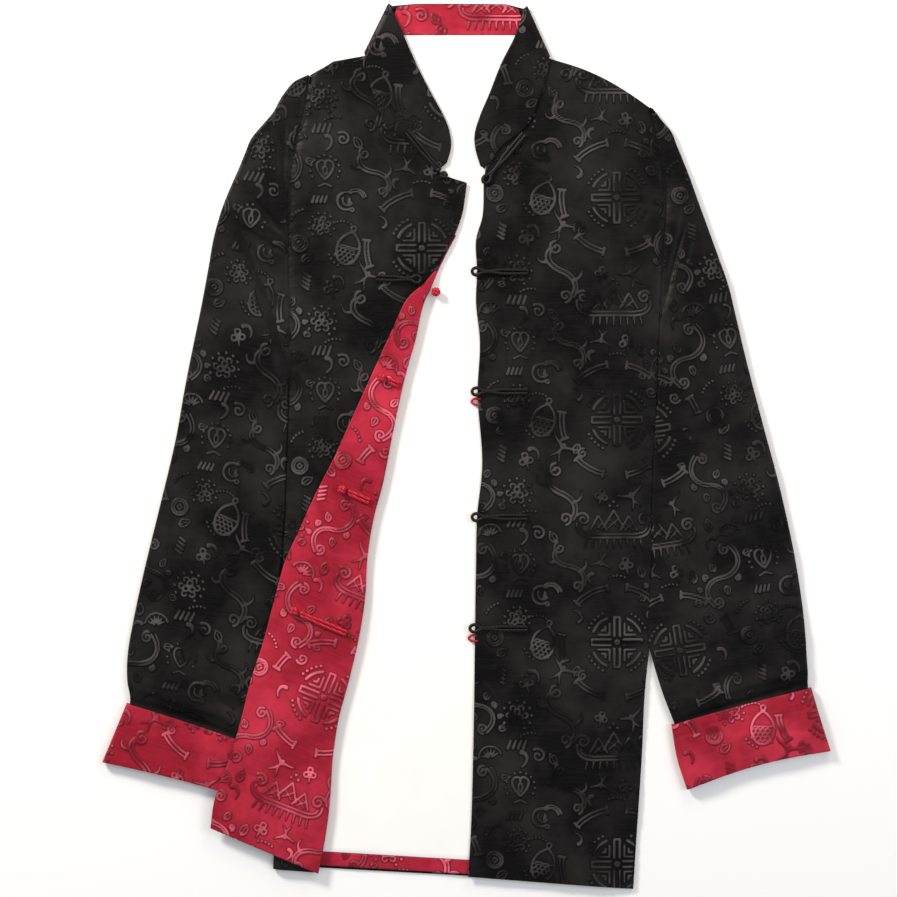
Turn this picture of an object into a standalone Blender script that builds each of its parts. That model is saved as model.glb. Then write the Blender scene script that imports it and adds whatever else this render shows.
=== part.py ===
"""A black brocade tang jacket with a red brocade second side, laid out flat, face up.

The collar points to +Y, the fronts face +Z, and the back lies on z = 0. The wearer's left front
(at +X) lies open, and the lower part of the other front is turned back over its own sleeve, so
that its red side shows. Tables are in millimetres, a row for each section across the cloth.
"""
import math

import bmesh
import bpy
from mathutils import Vector
from mathutils.bvhtree import BVHTree

MM = 0.001

# Cloth and lay, in millimetres.
WALL = 1.2             # one ply of cloth, as every panel is built
CUFF_WALL = 1.6        # the sleeve end turned back on itself
GAP = 0.3              # left between two plies that touch
SEAM = 0.4             # each side of a seam keeps this far from the seam line
BACK_TOP = WALL
LINING_WALL = 1.0
LINING_TOP = BACK_TOP + GAP + LINING_WALL
FACING_WALL = 1.0      # the red side, where the front is turned back
FRONT_SEAM_Z = BACK_TOP + GAP      # where a front's side edge comes down on the back
ARMHOLE_Z = 3.4        # a front's edge where the sleeve joins it
RIGHT_EDGE_Z = 3.2     # a free edge lying on the lining
LEFT_EDGE_Z = 4.3      # and one with its own red side folded beneath it
SLEEVE_HEIGHT = 5.0    # a sleeve pressed flat, at its edges
SLEEVE_SWELL = 1.2     # and what its middle adds to that
SLEEVE_END_HEIGHT = 3.5            # the same sleeve where its cuff grips it
FACING_DEPTH = 12.5    # the red strip along the back hem

# Armholes: above these heights a sleeve is open to the body.
ARMPIT_RIGHT = 120.0
ARMPIT_LEFT = 60.0

# Fronts: a row from the free edge to the side seam or armhole, hem first. Bow pushes its middle
# towards the collar, and lift raises its middle off the back.
FRONT_COLUMNS = ("edge_x", "edge_y", "side_x", "side_y", "bow", "lift")
FRONT_RIGHT = [
    (1.5, -388, 150, -399.25, 0, 1.2),
    (4, -345, 153, -352, 0, 1.6),
    (6, -276, 158, -276, 0, 1.6),
    (7, -222, 160.5, -222, 0, 1.6),
    (7.5, -179, 164.8, -180, 0, 1.6),
    (8.5, -110, 167, -110, 0, 1.6),
    (9.5, -64, 167, -64, 0, 1.6),
    (14, -20, 168, -20, 0, 1.6),
    (10, 49, 172, 49, 0, 1.6),
    (12, 95, 173.5, 95, 0, 1.6),
    (8.5, 131, 175, 131, 0, 1.6),
    (9.5, 157, 176, 157, 0, 1.6),
    (8.5, 185, 177, 180, 0, 1.6),
    (14.5, 208, 179, 206, 0, 1.6),
    (15.5, 237, 179.5, 230, 0, 1.6),
    (17, 249, 178, 244, 0, 1.6),
    (27.5, 269, 174, 259, 0, 1.6),
    (38, 277, 171, 274, 0, 1.6),
    (52, 288, 169, 287, 0, 1.6),
    (65, 316, 166.5, 299, 2, 1.6),
    (74, 349, 165, 304.5, 6, 1.6),
]
FRONT_LEFT = [
    (-134.5, -384, -174, -381, 0, 0.2),
    (-130, -362, -173, -355, 0, 0.2),
    (-124.5, -325, -171, -325, 0, 0.2),
    (-121, -276, -170, -276, 0, 0.3),
    (-116.5, -247, -169.5, -247, 0, 0.3),
    (-106.5, -209, -169, -209, 0, 0.3),
    (-97.5, -170, -168, -170, 0, 0.3),
    (-92, -133, -167, -133, 0, 0.3),
    (-90.5, -103, -166.5, -103, 0, 0.3),
    (-83.5, -60, -164, -57, 0, 0.4),
    (-77.5, -38, -163, -30, 0, 0.4),
    (-67, 14, -161.5, 14, 0, 0.4),
    (-56, 64, -160, 64, 0, 0.4),
    (-47, 96, -160, 96, 0, 0.4),
    (-39, 130, -160, 130, 0, 0.8),
    (-31, 146, -160.5, 146, 0, 0.8),
    (-24, 163, -160.5, 163, 0, 1.4),
    (-10.5, 190, -160.5, 190, 0, 1.4),
    (-4, 208, -160, 208, 0, 1.4),
    (0.5, 237, -159.5, 230, 0, 1.4),
    (-17.5, 243, -159, 241, 0, 1.4),
    (-28.5, 250, -157.5, 252, 0, 1.4),
    (-44.5, 269, -154, 266, 0, 1.4),
    (-54.5, 277, -152, 277, 0, 1.4),
    (-69, 288, -149, 289, 0, 1.4),
    (-82.5, 316, -145, 308, 0, 1.4),
    (-91.5, 351, -140.5, 334, 3, 1.4),
]

# The turned-back part: where it folds, and how wide it lies from the fold to its free edge.
TURN_COLUMNS = ("fold_x", "fold_y", "width", "fold_z", "edge_z")
TURNED_FRONT = [
    (-134.5, -384, 104.0, 6.1, 6.8),
    (-130, -362, 105.5, 6.1, 7.8),
    (-124.5, -325, 98.5, 6.1, 8.2),
    (-121, -276, 87.5, 6.1, 8.2),
    (-116.5, -247, 85.0, 6.1, 8.0),
    (-106.5, -209, 83.0, 6.1, 7.5),
    (-97.5, -170, 81.7, 6.1, 7.2),
    (-92, -133, 77.0, 6.1, 7.0),
    (-90.5, -103, 66.0, 6.1, 6.9),
    (-83.5, -60, 54.5, 6.1, 6.8),
    (-77.5, -38, 49.7, 6.1, 6.7),
    (-67, 14, 37.4, 6.2, 6.6),
    (-56, 64, 26.7, 6.2, 6.5),
    (-47, 96, 21.5, 6.3, 6.5),
    (-39, 130, 13.0, 6.5, 6.6),
]
TURN_DIRECTION = Vector((-0.92, 0.39))     # across the turned part, from its fold

# The back, from side to side: a row from hem to shoulders.
BACK_COLUMNS = ("left_x", "left_y", "right_x", "right_y")
BACK = [
    (-173, -378, 149.5, -396),
    (-172, -345, 152.5, -352),
    (-170, -276, 158, -276),
    (-169, -209, 160.5, -222),
    (-168, -170, 164.8, -180),
    (-166.5, -103, 167, -110),
    (-164, -57, 167, -64),
    (-162, -20, 168, -20),
    (-160, 49, 172, 49),
    (-160, 96, 173.5, 95),
    (-160, 130, 175, 131),
    (-160.5, 163, 176, 157),
    (-160.5, 190, 177, 180),
    (-160, 208, 179, 206),
    (-159.5, 230, 179.5, 230),
    (-159, 241, 178, 244),
    (-157.5, 252, 174, 259),
    (-152, 277, 171, 274),
    (-149, 289, 169, 287),
    (-145, 308, 166.5, 299),
]
SHOULDER_LINE = [
    (-140.5, 334), (-120, 347), (-91.5, 352), (-57, 371.5), (-6.5, 371.5),
    (44, 371.5), (74, 350), (109, 338.6), (137, 321.8), (165, 304.5),
]

LINING_PARTS = 5

# What shows between the fronts: the back's lining, which stops short of the side seams, and
# the facing below it.
LINING = [
    (-146, -364.5, 125, -380.5),
    (-146, -100, 140, -110),
    (-138, 150, 150, 150),
    (-125, 250, 145, 250),
    (-108, 305, 130, 300),
    (-82, 349, 68, 347),
    (-57.5, 370.5, 44.5, 370.5),
]

# Sleeves: a row from the body side to the outer edge, shoulder first.
SLEEVE_COLUMNS = ("inner_x", "inner_y", "outer_x", "outer_y", "base", "swell")
SLEEVE_RIGHT = [
    (166.5, 299, 176, 293.5, 0, 0.0),
    (169, 287, 185, 282.5, 0, 0.2),
    (171, 274, 190, 270, 0, 0.4),
    (174, 259, 196, 255.5, 0, 0.5),
    (178, 244, 202, 240, 0, 0.6),
    (179.5, 230, 208, 223, 0, 0.8),
    (179, 206, 216.4, 200, 0, 1),
    (177, 180, 226.5, 172, 0, 1),
    (176, 157, 236, 145, 0, 1),
    (175, 131, 243, 116, 0, 1),
    (173.5, 95, 252, 78, 0, 1),
    (172, 49, 265, 28, 0, 1),
    (168, -20, 283, -40, 0, 1),
    (167, -64, 292.4, -82, 0, 1),
    (167, -110, 298.5, -115, 0, 1),
    (164.8, -180, 305.6, -172, 0, 0.85),
    (168.5, -195, 306.5, -188, 0.6, 0.6),
    (178, -225.5, 307.5, -204.5, 1.9, 0.2),
    (188, -251.5, 307.5, -217, 1.9, 0),
    (201.5, -304, 322, -271.5, 1.9, 0),
]
SLEEVE_LEFT = [
    (-142.6, 322, -152, 327, 0, 0.0),
    (-145, 308, -166, 315.5, 0, 0.2),
    (-149, 289, -175, 299.7, 0, 0.4),
    (-152, 277, -186, 287, 0, 0.5),
    (-154, 266, -194, 277, 0, 0.6),
    (-157.5, 252, -199.5, 264, 0, 0.7),
    (-159, 241, -205, 250.5, 0, 0.8),
    (-159.5, 230, -211, 237, 0, 0.9),
    (-160, 208, -221, 212, 0, 1),
    (-160.5, 190, -227.5, 189, 0, 1),
    (-160.5, 163, -232.3, 162, 0, 1),
    (-160, 130, -239, 126, 0, 1),
    (-160, 96, -246, 92, 0, 1),
    (-160, 64, -253, 57, 0, 1),
    (-161.5, 14, -261.5, 9, 0, 1),
    (-164, -57, -277, -57, 0, 1),
    (-166.5, -103, -289.5, -108, 0, 1),
    (-169.5, -150, -300, -156, 0, 0.9),
    (-174, -200, -305.5, -190, 0.6, 0.6),
    (-180, -240, -305.5, -212, 1.9, 0.2),
    (-188, -270.5, -303, -230, 1.9, 0),
    (-200, -311, -321, -281, 1.9, 0),
]

# Cuffs: the rim that lies on the sleeve, a middle row, and the folded end.
CUFF_COLUMNS = ("inner_x", "inner_y", "outer_x", "outer_y", "bow")
CUFF_RIGHT = [
    (184.5, -251, 310.5, -217.5, 1),
    (189.5, -281, 319, -246, 2),
    (198.5, -309.5, 328, -274.5, 5),
]
CUFF_LEFT = [
    (-184, -272, -306, -231.5, 1),
    (-190.5, -295, -317, -258, 1),
    (-197, -318, -328, -284.5, 2),
]
CUFF_HEIGHT = 7.2

# Collar: from one front end round the back of the neck to the other. The seam side joins the
# neckline and the rim side is free; bed is the height of the band's underside.
COLLAR_COLUMNS = ("seam_x", "seam_y", "rim_x", "rim_y", "bed")
COLLAR = [
    (-24, 250, -17.5, 255, 4.0),
    (-31, 256.5, -14, 268, 4.0),
    (-43, 270, -16, 286, 4.1),
    (-54, 279, -21, 298, 4.2),
    (-67.5, 290, -33, 320, 4.2),
    (-80.5, 317, -46.5, 347, 4.2),
    (-86, 335, -57, 371, 4.2),
    (-89.5, 352, -67, 394, 4.1),
    (-92.5, 354, -70.5, 399, 2.1),
    (-89.5, 353.5, -67, 397, 0.0),
    (-57, 373, -45, 399, 0.0),
    (-6.5, 373, -6.5, 399, 0.0),
    (44, 373, 36, 398.5, 0.0),
    (72, 352, 51.5, 394.5, 0.0),
    (75.5, 351, 55, 396.5, 2.1),
    (73, 350, 51.5, 391, 4.1),
    (68.5, 334, 43.5, 369, 4.2),
    (63, 317, 32, 346, 4.2),
    (50.5, 290, 20, 316, 4.2),
    (37, 279, 12, 297, 4.2),
    (28, 271.5, 7.5, 282, 4.1),
    (20, 259, 8, 267, 4.0),
    (16.5, 250, 12.5, 252, 4.0),
]
COLLAR_LINING_SIDE = 5.0    # the lining of the band stops this far inside its folds

# Frog fastenings: the sewn end of the strap and the end at the placket's edge.
CORD_RADIUS = 1.5
STRAP_HALF = 1.7       # from the middle of a strap to the middle of each of its two cords
KNOT_RADIUS = 4.6
LOOP_LENGTH = 7.0
LOOP_HALF = 3.4
FROG_COLUMNS = ("name", "start", "end", "lies_on", "cloth", "ends_in")
FROGS = [
    ("frog_collar_knot", (-54, 283), (-26, 249.5), ("front_left", "collar"), "black", "knot"),
    ("frog_left_2", (-82, 151), (-48, 150), ("front_left",), "black", "loop"),
    ("frog_turned_3", (-61, 55), (-68.5, 58), ("front_left_facing",), "red", "knot"),
    ("frog_turned_4", (-87, -50), (-104, -42.5), ("front_left_facing",), "red", "knot"),
    ("frog_turned_5", (-108, -168), (-147, -151.5), ("front_left_facing",), "red", "knot"),
    ("frog_collar_loop", (52, 281), (20, 242.5), ("front_right", "collar"), "black", "loop"),
    ("frog_right_2", (55, 156.5), (12, 157), ("front_right",), "black", "loop"),
    ("frog_right_3", (55, 49), (12, 49), ("front_right",), "black", "loop"),
    ("frog_right_4", (55, -64), (12, -64), ("front_right",), "black", "loop"),
    ("frog_right_5", (55, -164), (10, -164), ("front_right",), "black", "loop"),
]
# Loops of the red side's frogs that show past the free edge from beneath, and one red knot.
RED_CORD_RADIUS = 1.1
RED_LOOPS = [("frog_red_loop_3", (9.6, 40)), ("frog_red_loop_5", (7.0, -173))]
RED_KNOT = ("frog_red_knot_2", (-27.5, 138.5), 7.0)


def clear_scene():
    for thing in list(bpy.data.objects):
        bpy.data.objects.remove(thing, do_unlink=True)


def linear(part):
    """An sRGB value as linear light."""
    return part / 12.92 if part <= 0.04045 else ((part + 0.055) / 1.055) ** 2.4


def cloth_material(name, red, green, blue, roughness):
    """A Principled cloth whose colour is given as sRGB values from 0 to 255."""
    made = bpy.data.materials.new(name)
    made.use_nodes = True
    shader = made.node_tree.nodes["Principled BSDF"]
    colour = [linear(part / 255) for part in (red, green, blue)]
    shader.inputs["Base Color"].default_value = (*colour, 1)
    shader.inputs["Roughness"].default_value = roughness
    shader.inputs["Metallic"].default_value = 0
    return made


def add_object(name, mesh, material):
    thing = bpy.data.objects.new(name, mesh)
    bpy.data.collections["tang_jacket"].objects.link(thing)
    thing.data.materials.append(material)
    return thing


def named(columns, table):
    """A table's rows as dictionaries keyed by its column names."""
    return [dict(zip(columns, row)) for row in table]


def between(start, end, share):
    return start + (end - start) * share


def swell(share):
    """1 in the middle of a stretch, 0 at both its ends."""
    return math.sin(math.pi * share)


def grid_mesh(rows, columns, place):
    """A grid whose vertices are put where place(row, column) says, in millimetres."""
    bm = bmesh.new()
    bmesh.ops.create_grid(bm, x_segments=columns - 1, y_segments=rows - 1, size=1)
    for index, vert in enumerate(bm.verts):
        vert.co = Vector(place(index // columns, index % columns)) * MM
    return bm


def finish_sheet(name, bm, material, wall, side):
    """The grid as an object with a wall, on the side of its faces (1) or behind them (-1)."""
    mesh = bpy.data.meshes.new(name)
    bm.to_mesh(mesh)
    bm.free()
    sheet = add_object(name, mesh, material)
    solid = sheet.modifiers.new("wall", "SOLIDIFY")
    solid.thickness = wall * MM
    solid.offset = side
    mesh.shade_smooth()
    return sheet


def build_back(material, lining_material, facing_material):
    """The back, its lining, and the strip that faces its hem."""
    rows = named(BACK_COLUMNS, BACK)
    first, last = SHOULDER_LINE[0][0], SHOULDER_LINE[-1][0]
    shares = [(x - first) / (last - first) for x, _ in SHOULDER_LINE]

    def spot(row, column):
        if row == len(rows):
            x, y = SHOULDER_LINE[column]
            return x + SEAM * (1 - 2 * shares[column]), y - SEAM, 0
        here = rows[row]
        x = between(here["left_x"] + SEAM, here["right_x"] - SEAM, shares[column])
        return x, between(here["left_y"], here["right_y"], shares[column]), 0

    panel = grid_mesh(len(rows) + 1, len(shares), spot)
    finish_sheet("back", panel, material, WALL, 1)

    def lining_spot(row, column, drop=0.0):
        here = dict(zip(BACK_COLUMNS, LINING[row]))
        share = column / (LINING_PARTS - 1)
        x = between(here["left_x"], here["right_x"], share)
        return x, between(here["left_y"], here["right_y"], share) - drop, BACK_TOP + GAP

    lining = grid_mesh(len(LINING), LINING_PARTS, lining_spot)
    finish_sheet("back_lining", lining, lining_material, LINING_WALL, 1)

    def facing_spot(row, column):
        return lining_spot(0, column, GAP if row else FACING_DEPTH)

    facing = grid_mesh(2, LINING_PARTS, facing_spot)
    finish_sheet("back_hem_facing", facing, facing_material, LINING_WALL, 1)


def front_height(share, here, armpit, edge_z):
    """Underside of a front, at a share of the way from its free edge to its side."""
    side_z = ARMHOLE_Z if here["side_y"] > armpit else FRONT_SEAM_Z
    climb = min(1, (1 - share) * 5)
    return between(side_z, edge_z, climb) + here["lift"] * swell(share)


def build_front(name, table, armpit, edge_z, material, columns, outward):
    """A front panel. Outward is the side its side seam is on: 1 for +X, -1 for -X."""
    rows = named(FRONT_COLUMNS, table)

    def spot(row, column):
        here = rows[row]
        share = column / (columns - 1)
        if outward < 0:
            share = 1 - share
        x = between(here["edge_x"], here["side_x"] - outward * SEAM, share)
        y = between(here["edge_y"], here["side_y"], share) + here["bow"] * swell(share)
        return x, y, front_height(share, here, armpit, edge_z)

    finish_sheet(name, grid_mesh(len(rows), columns, spot), material, WALL, 1)


def turned_spot(here, share, drop):
    """A point of the turned-back front, at a share of its width from the fold."""
    x = here["fold_x"] + TURN_DIRECTION.x * here["width"] * share
    y = here["fold_y"] + TURN_DIRECTION.y * here["width"] * share
    height = between(here["fold_z"], here["edge_z"], min(1, share * 1.6)) + 0.4 * swell(share)
    return x, y, height - drop


def build_turned_front(material, facing_material):
    """The part of the front that is turned back: black cloth beneath, its red side on top."""
    rows = named(TURN_COLUMNS, TURNED_FRONT)
    shares = (1.0, 0.75, 0.5, 0.25, 0.0)

    def under_spot(row, column):
        here = rows[row]
        share = between(0.012, 0.985, shares[column])
        return turned_spot(here, share, 0)

    under = grid_mesh(len(rows), len(shares), under_spot)
    finish_sheet("front_left_turned", under, material, WALL, 1)

    # The red side goes on round the fold, as (out from it, height), and back beneath the front.
    under_z = LINING_TOP + GAP + FACING_WALL
    wrap = [(1.3, 7.1), (1.9, 5.6), (1.3, under_z + 0.4), (-1.0, under_z), (-8.0, under_z)]

    def facing_spot(row, column):
        here = rows[row]
        rise = WALL + GAP
        if column < len(shares):
            x, y, z = turned_spot(here, shares[column], 0)
            return x, y, z + rise
        out, height = wrap[column - len(shares)]
        return here["fold_x"] + out, here["fold_y"] - 0.4 * out, height

    facing = grid_mesh(len(rows), len(shares) + len(wrap), facing_spot)
    finish_sheet("front_left_facing", facing, facing_material, FACING_WALL, 1)


def loop_section(width, height, middles, open_side=False):
    """Once round a flattened tube: (distance from the inner edge, height), underside first.

    With an open side the inner edge isn't rounded, so the two plies end one above the other.
    """
    radius = height / 2
    corner = radius * (1 - math.sqrt(0.5))
    inside = [radius + (width - height) * step / (middles + 1) for step in range(middles + 2)]
    across = [0.0, corner, *inside, width - corner, width]

    def half(distance):
        near = min(radius if open_side else distance, width - distance, radius)
        return math.sqrt(max(0, radius ** 2 - (radius - near) ** 2))

    under = [(distance, radius - half(distance)) for distance in across]
    over = [(distance, radius + half(distance)) for distance in reversed(across[:-1])]
    return under + over


def build_sleeve(name, table, armpit, material, outward):
    """A sleeve pressed flat beside the body, open to it above the armpit."""
    rows = named(SLEEVE_COLUMNS, table)
    middles = 3
    columns = len(loop_section(100, SLEEVE_HEIGHT, middles))

    def spot(row, column):
        here = rows[row]
        start = Vector((here["inner_x"] + outward * SEAM, here["inner_y"]))
        end = Vector((here["outer_x"], here["outer_y"]))
        width = (end - start).length
        height = SLEEVE_HEIGHT if here["base"] < 1 else SLEEVE_END_HEIGHT
        open_side = here["inner_y"] > armpit
        distance, z = loop_section(width, height, middles, open_side)[column]
        x, y = start.lerp(end, distance / width)
        if open_side and column == columns - 1:
            return x, y, ARMHOLE_Z + WALL
        if z > height / 2:
            z += SLEEVE_SWELL * here["swell"] * swell(distance / width)
        return x, y, z + here["base"]

    tube = grid_mesh(len(rows), columns, spot)
    bmesh.ops.remove_doubles(tube, verts=tube.verts, dist=0.01 * MM)
    if outward < 0:
        bmesh.ops.reverse_faces(tube, faces=tube.faces)
    finish_sheet(name, tube, material, WALL, -1)


def build_cuff(name, table, material, outward):
    """The sleeve end turned back: a flattened band round it, open at both ends."""
    rows = named(CUFF_COLUMNS, table)
    middles = 3
    columns = len(loop_section(100, CUFF_HEIGHT, middles))

    def spot(row, column):
        here = rows[row]
        start = Vector((here["inner_x"], here["inner_y"]))
        end = Vector((here["outer_x"], here["outer_y"]))
        width = (end - start).length
        distance, z = loop_section(width, CUFF_HEIGHT, middles)[column]
        x, y = start.lerp(end, distance / width)
        return x, y + here["bow"] * swell(distance / width), z

    band = grid_mesh(len(rows), columns, spot)
    bmesh.ops.remove_doubles(band, verts=band.verts, dist=0.01 * MM)
    if outward < 0:
        bmesh.ops.reverse_faces(band, faces=band.faces)
    finish_sheet(name, band, material, CUFF_WALL, -1)


def build_collar(material, lining_material):
    """The standing band, folded down at both sides of the neck, and its lining at the back."""
    rows = named(COLLAR_COLUMNS, COLLAR)
    columns = 4

    def spot(row, column):
        here = rows[row]
        share = column / (columns - 1)
        x = between(here["seam_x"], here["rim_x"], share)
        y = between(here["seam_y"], here["rim_y"], share)
        return x, y, here["bed"] + WALL / 2

    band = grid_mesh(len(rows), columns, spot)
    bmesh.ops.reverse_faces(band, faces=band.faces)
    finish_sheet("collar", band, material, WALL, 0)

    backs = [row for row in rows if row["bed"] == 0.0]

    def lining_spot(row, column):
        here = backs[column]
        inset = {0: COLLAR_LINING_SIDE, len(backs) - 1: -COLLAR_LINING_SIDE}.get(column, 0)
        x = between(here["seam_x"], here["rim_x"], row) + inset
        return x, between(here["seam_y"], here["rim_y"], row), WALL + GAP

    lining = grid_mesh(2, len(backs), lining_spot)
    finish_sheet("collar_lining", lining, lining_material, LINING_WALL, 1)


def top_finder(names):
    """A function that gives the height of the highest of the named pieces at a point."""
    graph = bpy.context.evaluated_depsgraph_get()
    trees = [BVHTree.FromObject(bpy.data.objects[name], graph) for name in names]
    above = 0.1

    def top(x, y):
        hits = [tree.ray_cast(Vector((x * MM, y * MM, above)), Vector((0, 0, -1)))[0]
                for tree in trees]
        heights = [hit.z / MM for hit in hits if hit]
        return max(heights) if heights else None

    return top


def cord(name, points, radius, material):
    """A round cord through the points, as a mesh with welded caps."""
    curve = bpy.data.curves.new(name, "CURVE")
    curve.dimensions = "3D"
    spline = curve.splines.new("POLY")
    spline.points.add(len(points) - 1)
    for place, point in zip(points, spline.points):
        point.co = (*(value * MM for value in place), 1)
    curve.bevel_depth = radius * MM
    curve.bevel_resolution = 1
    curve.use_fill_caps = True
    return add_object(name, curve, material)


def frog(name, start, end, lies_on, ends_in, material):
    """Half a fastening: a cord doubled into a strap, ending in a loop or at a knot."""
    top = top_finder(lies_on)
    start, end = Vector(start), Vector(end)
    along = (end - start).normalized()
    across = Vector((-along.y, along.x))
    length = (end - start).length
    tip = LOOP_LENGTH if ends_in == "loop" else 2.0
    bulge = LOOP_HALF if ends_in == "loop" else STRAP_HALF
    leg = [(0, STRAP_HALF), (length / 2, STRAP_HALF), (length, STRAP_HALF)]
    turn = [(length + tip * 0.4, bulge), (length + tip * 0.85, bulge * 0.6)]
    half = leg + turn
    outline = half + [(length + tip, 0)] + [(far, -side) for far, side in reversed(half)]
    height = None
    points = []
    for far, side in outline:
        x, y = start + along * far + across * side
        found = top(x, y)
        height = found if found is not None else height
        points.append([x, y, height + GAP + CORD_RADIUS])
    tops = max(point[2] for point in points[1:-1])
    for point in points:
        point[2] = max(point[2], tops - 0.6)
    cord(name, points, CORD_RADIUS, material)
    if ends_in == "knot":
        centre = end + along * (tip + CORD_RADIUS + GAP + KNOT_RADIUS)
        rest = top(centre.x, centre.y)
        floor = rest if rest is not None else tops - CORD_RADIUS - GAP
        knot(name + "_ball", centre, floor + GAP + KNOT_RADIUS * 0.72, KNOT_RADIUS, material)


def knot(name, centre, height, radius, material):
    """A knotted ball, pressed a little flat."""
    bm = bmesh.new()
    bmesh.ops.create_uvsphere(bm, u_segments=10, v_segments=7, radius=radius * MM)
    squash = 0.72
    bmesh.ops.scale(bm, vec=(1, 1, squash), verts=bm.verts)
    bmesh.ops.translate(bm, vec=(centre[0] * MM, centre[1] * MM, height * MM), verts=bm.verts)
    mesh = bpy.data.meshes.new(name)
    bm.to_mesh(mesh)
    bm.free()
    mesh.shade_smooth()
    add_object(name, mesh, material)


def build_frogs(cloths):
    for row in named(FROG_COLUMNS, FROGS):
        frog(row["name"], row["start"], row["end"], row["lies_on"], row["ends_in"],
             cloths[row["cloth"]])
    height = LINING_TOP + GAP + RED_CORD_RADIUS
    for name, (x, y) in RED_LOOPS:
        steps = [(0, 2.6), (-3, 2.4), (-5, 0), (-3, -2.4), (0, -2.6)]
        points = [(x + out, y + side, height) for out, side in steps]
        cord(name, points, RED_CORD_RADIUS, cloths["red"])
    name, centre, height = RED_KNOT
    knot(name, centre, height, KNOT_RADIUS, cloths["red"])


def main():
    clear_scene()
    garment = bpy.data.collections.new("tang_jacket")
    bpy.context.scene.collection.children.link(garment)
    black = cloth_material("black_brocade", 36, 33, 34, 0.42)
    red = cloth_material("red_brocade", 184, 40, 62, 0.45)
    white = cloth_material("white_lining", 240, 238, 236, 0.8)
    build_back(black, white, red)
    build_front("front_right", FRONT_RIGHT, ARMPIT_RIGHT, RIGHT_EDGE_Z, black, 7, 1)
    build_front("front_left", FRONT_LEFT, ARMPIT_LEFT, LEFT_EDGE_Z, black, 7, -1)
    build_turned_front(black, red)
    build_sleeve("sleeve_right", SLEEVE_RIGHT, ARMPIT_RIGHT, black, 1)
    build_sleeve("sleeve_left", SLEEVE_LEFT, ARMPIT_LEFT, black, -1)
    build_cuff("cuff_right", CUFF_RIGHT, red, 1)
    build_cuff("cuff_left", CUFF_LEFT, red, -1)
    build_collar(black, red)
    build_frogs({"black": black, "red": red})


main()
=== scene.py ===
import math

import bmesh
import bpy
import numpy as np
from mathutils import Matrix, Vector
from mathutils.bvhtree import BVHTree


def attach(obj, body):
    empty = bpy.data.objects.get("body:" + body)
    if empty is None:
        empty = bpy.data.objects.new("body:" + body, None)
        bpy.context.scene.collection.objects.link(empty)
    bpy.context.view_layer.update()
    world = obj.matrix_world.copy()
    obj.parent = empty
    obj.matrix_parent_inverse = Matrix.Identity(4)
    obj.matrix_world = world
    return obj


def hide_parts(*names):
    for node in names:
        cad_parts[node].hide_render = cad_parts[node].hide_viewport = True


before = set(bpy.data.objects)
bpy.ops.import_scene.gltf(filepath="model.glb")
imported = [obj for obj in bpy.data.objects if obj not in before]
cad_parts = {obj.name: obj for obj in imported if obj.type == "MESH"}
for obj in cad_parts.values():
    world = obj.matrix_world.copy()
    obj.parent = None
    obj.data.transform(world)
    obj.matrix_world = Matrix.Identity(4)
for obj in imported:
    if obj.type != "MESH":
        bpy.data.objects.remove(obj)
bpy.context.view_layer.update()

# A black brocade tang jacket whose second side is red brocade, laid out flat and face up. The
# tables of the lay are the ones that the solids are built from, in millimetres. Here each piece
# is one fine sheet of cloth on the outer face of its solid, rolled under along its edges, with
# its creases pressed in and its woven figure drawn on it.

MM = 0.001

# Cloth and lay, in millimetres.
WALL = 1.2
CUFF_WALL = 1.6
GAP = 0.3
SEAM = -0.3                # cloths that are sewn together overlap by this much each
LINING_WALL = 1.0
LINING_TOP = WALL + GAP + LINING_WALL
FRONT_SEAM_Z = WALL + GAP
ARMHOLE_Z = 3.4
RIGHT_EDGE_Z = 3.2
LEFT_EDGE_Z = 4.3
SLEEVE_HEIGHT = 5.0
SLEEVE_SWELL = 1.2
SLEEVE_END_HEIGHT = 3.5
CUFF_HEIGHT = 7.2
FACING_DEPTH = 12.5
FACING_RISE = 2.5          # from the underside of the turned part to its red face
ARMPIT_RIGHT = 120.0
ARMPIT_LEFT = 60.0
ARMPIT_BLEND = 30.0        # the stretch in which a front's side seam becomes an armhole
SLEEVE_OPENS = 16.0        # and in which a sleeve's tube opens into its head

# How fine the sheets are, in millimetres between their points.
SHOWN_STEP = 1.29          # where the cloth shows: fine enough for the narrowest line
UNDER_STEP = 2.2           # on the underside
PLAIN_STEP = 4.5           # on the plain lining
LEFT_STEP = 1.36           # across the left front
SLEEVE_STEP = SHOWN_STEP * 1.04              # round the sleeves

# An edge rolls under as (in from the edge, share of the thickness down).
RIM = ((1.2, 1.0), (0.35, 0.86), (0.0, 0.5), (0.18, 0.2), (0.62, 0.0))
TURN_IN = 7.0              # how far a hidden turning reaches in from an edge

# Fronts: a row from the free edge to the side seam or armhole, hem first. Bow pushes its middle
# towards the collar, and lift raises its middle off the back.
FRONT_COLUMNS = ("edge_x", "edge_y", "side_x", "side_y", "bow", "lift")
FRONT_RIGHT = [
    (1.5, -388, 150, -399.25, 0, 1.2),
    (4, -345, 153, -352, 0, 1.6),
    (6, -276, 158, -276, 0, 1.6),
    (7, -222, 160.5, -222, 0, 1.6),
    (7.5, -179, 164.8, -180, 0, 1.6),
    (8.5, -110, 167, -110, 0, 1.6),
    (9.5, -64, 167, -64, 0, 1.6),
    (14, -20, 168, -20, 0, 1.6),
    (10, 49, 172, 49, 0, 1.6),
    (12, 95, 173.5, 95, 0, 1.6),
    (8.5, 131, 175, 131, 0, 1.6),
    (9.5, 157, 176, 157, 0, 1.6),
    (8.5, 185, 177, 180, 0, 1.6),
    (14.5, 208, 179, 206, 0, 1.6),
    (15.5, 237, 179.5, 230, 0, 1.6),
    (17, 249, 178, 244, 0, 1.6),
    (27.5, 269, 174, 259, 0, 1.6),
    (38, 277, 171, 274, 0, 1.6),
    (52, 288, 169, 287, 0, 1.6),
    (65, 316, 166.5, 299, 2, 1.6),
    (74, 349, 165, 304.5, 6, 1.6),
]
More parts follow.
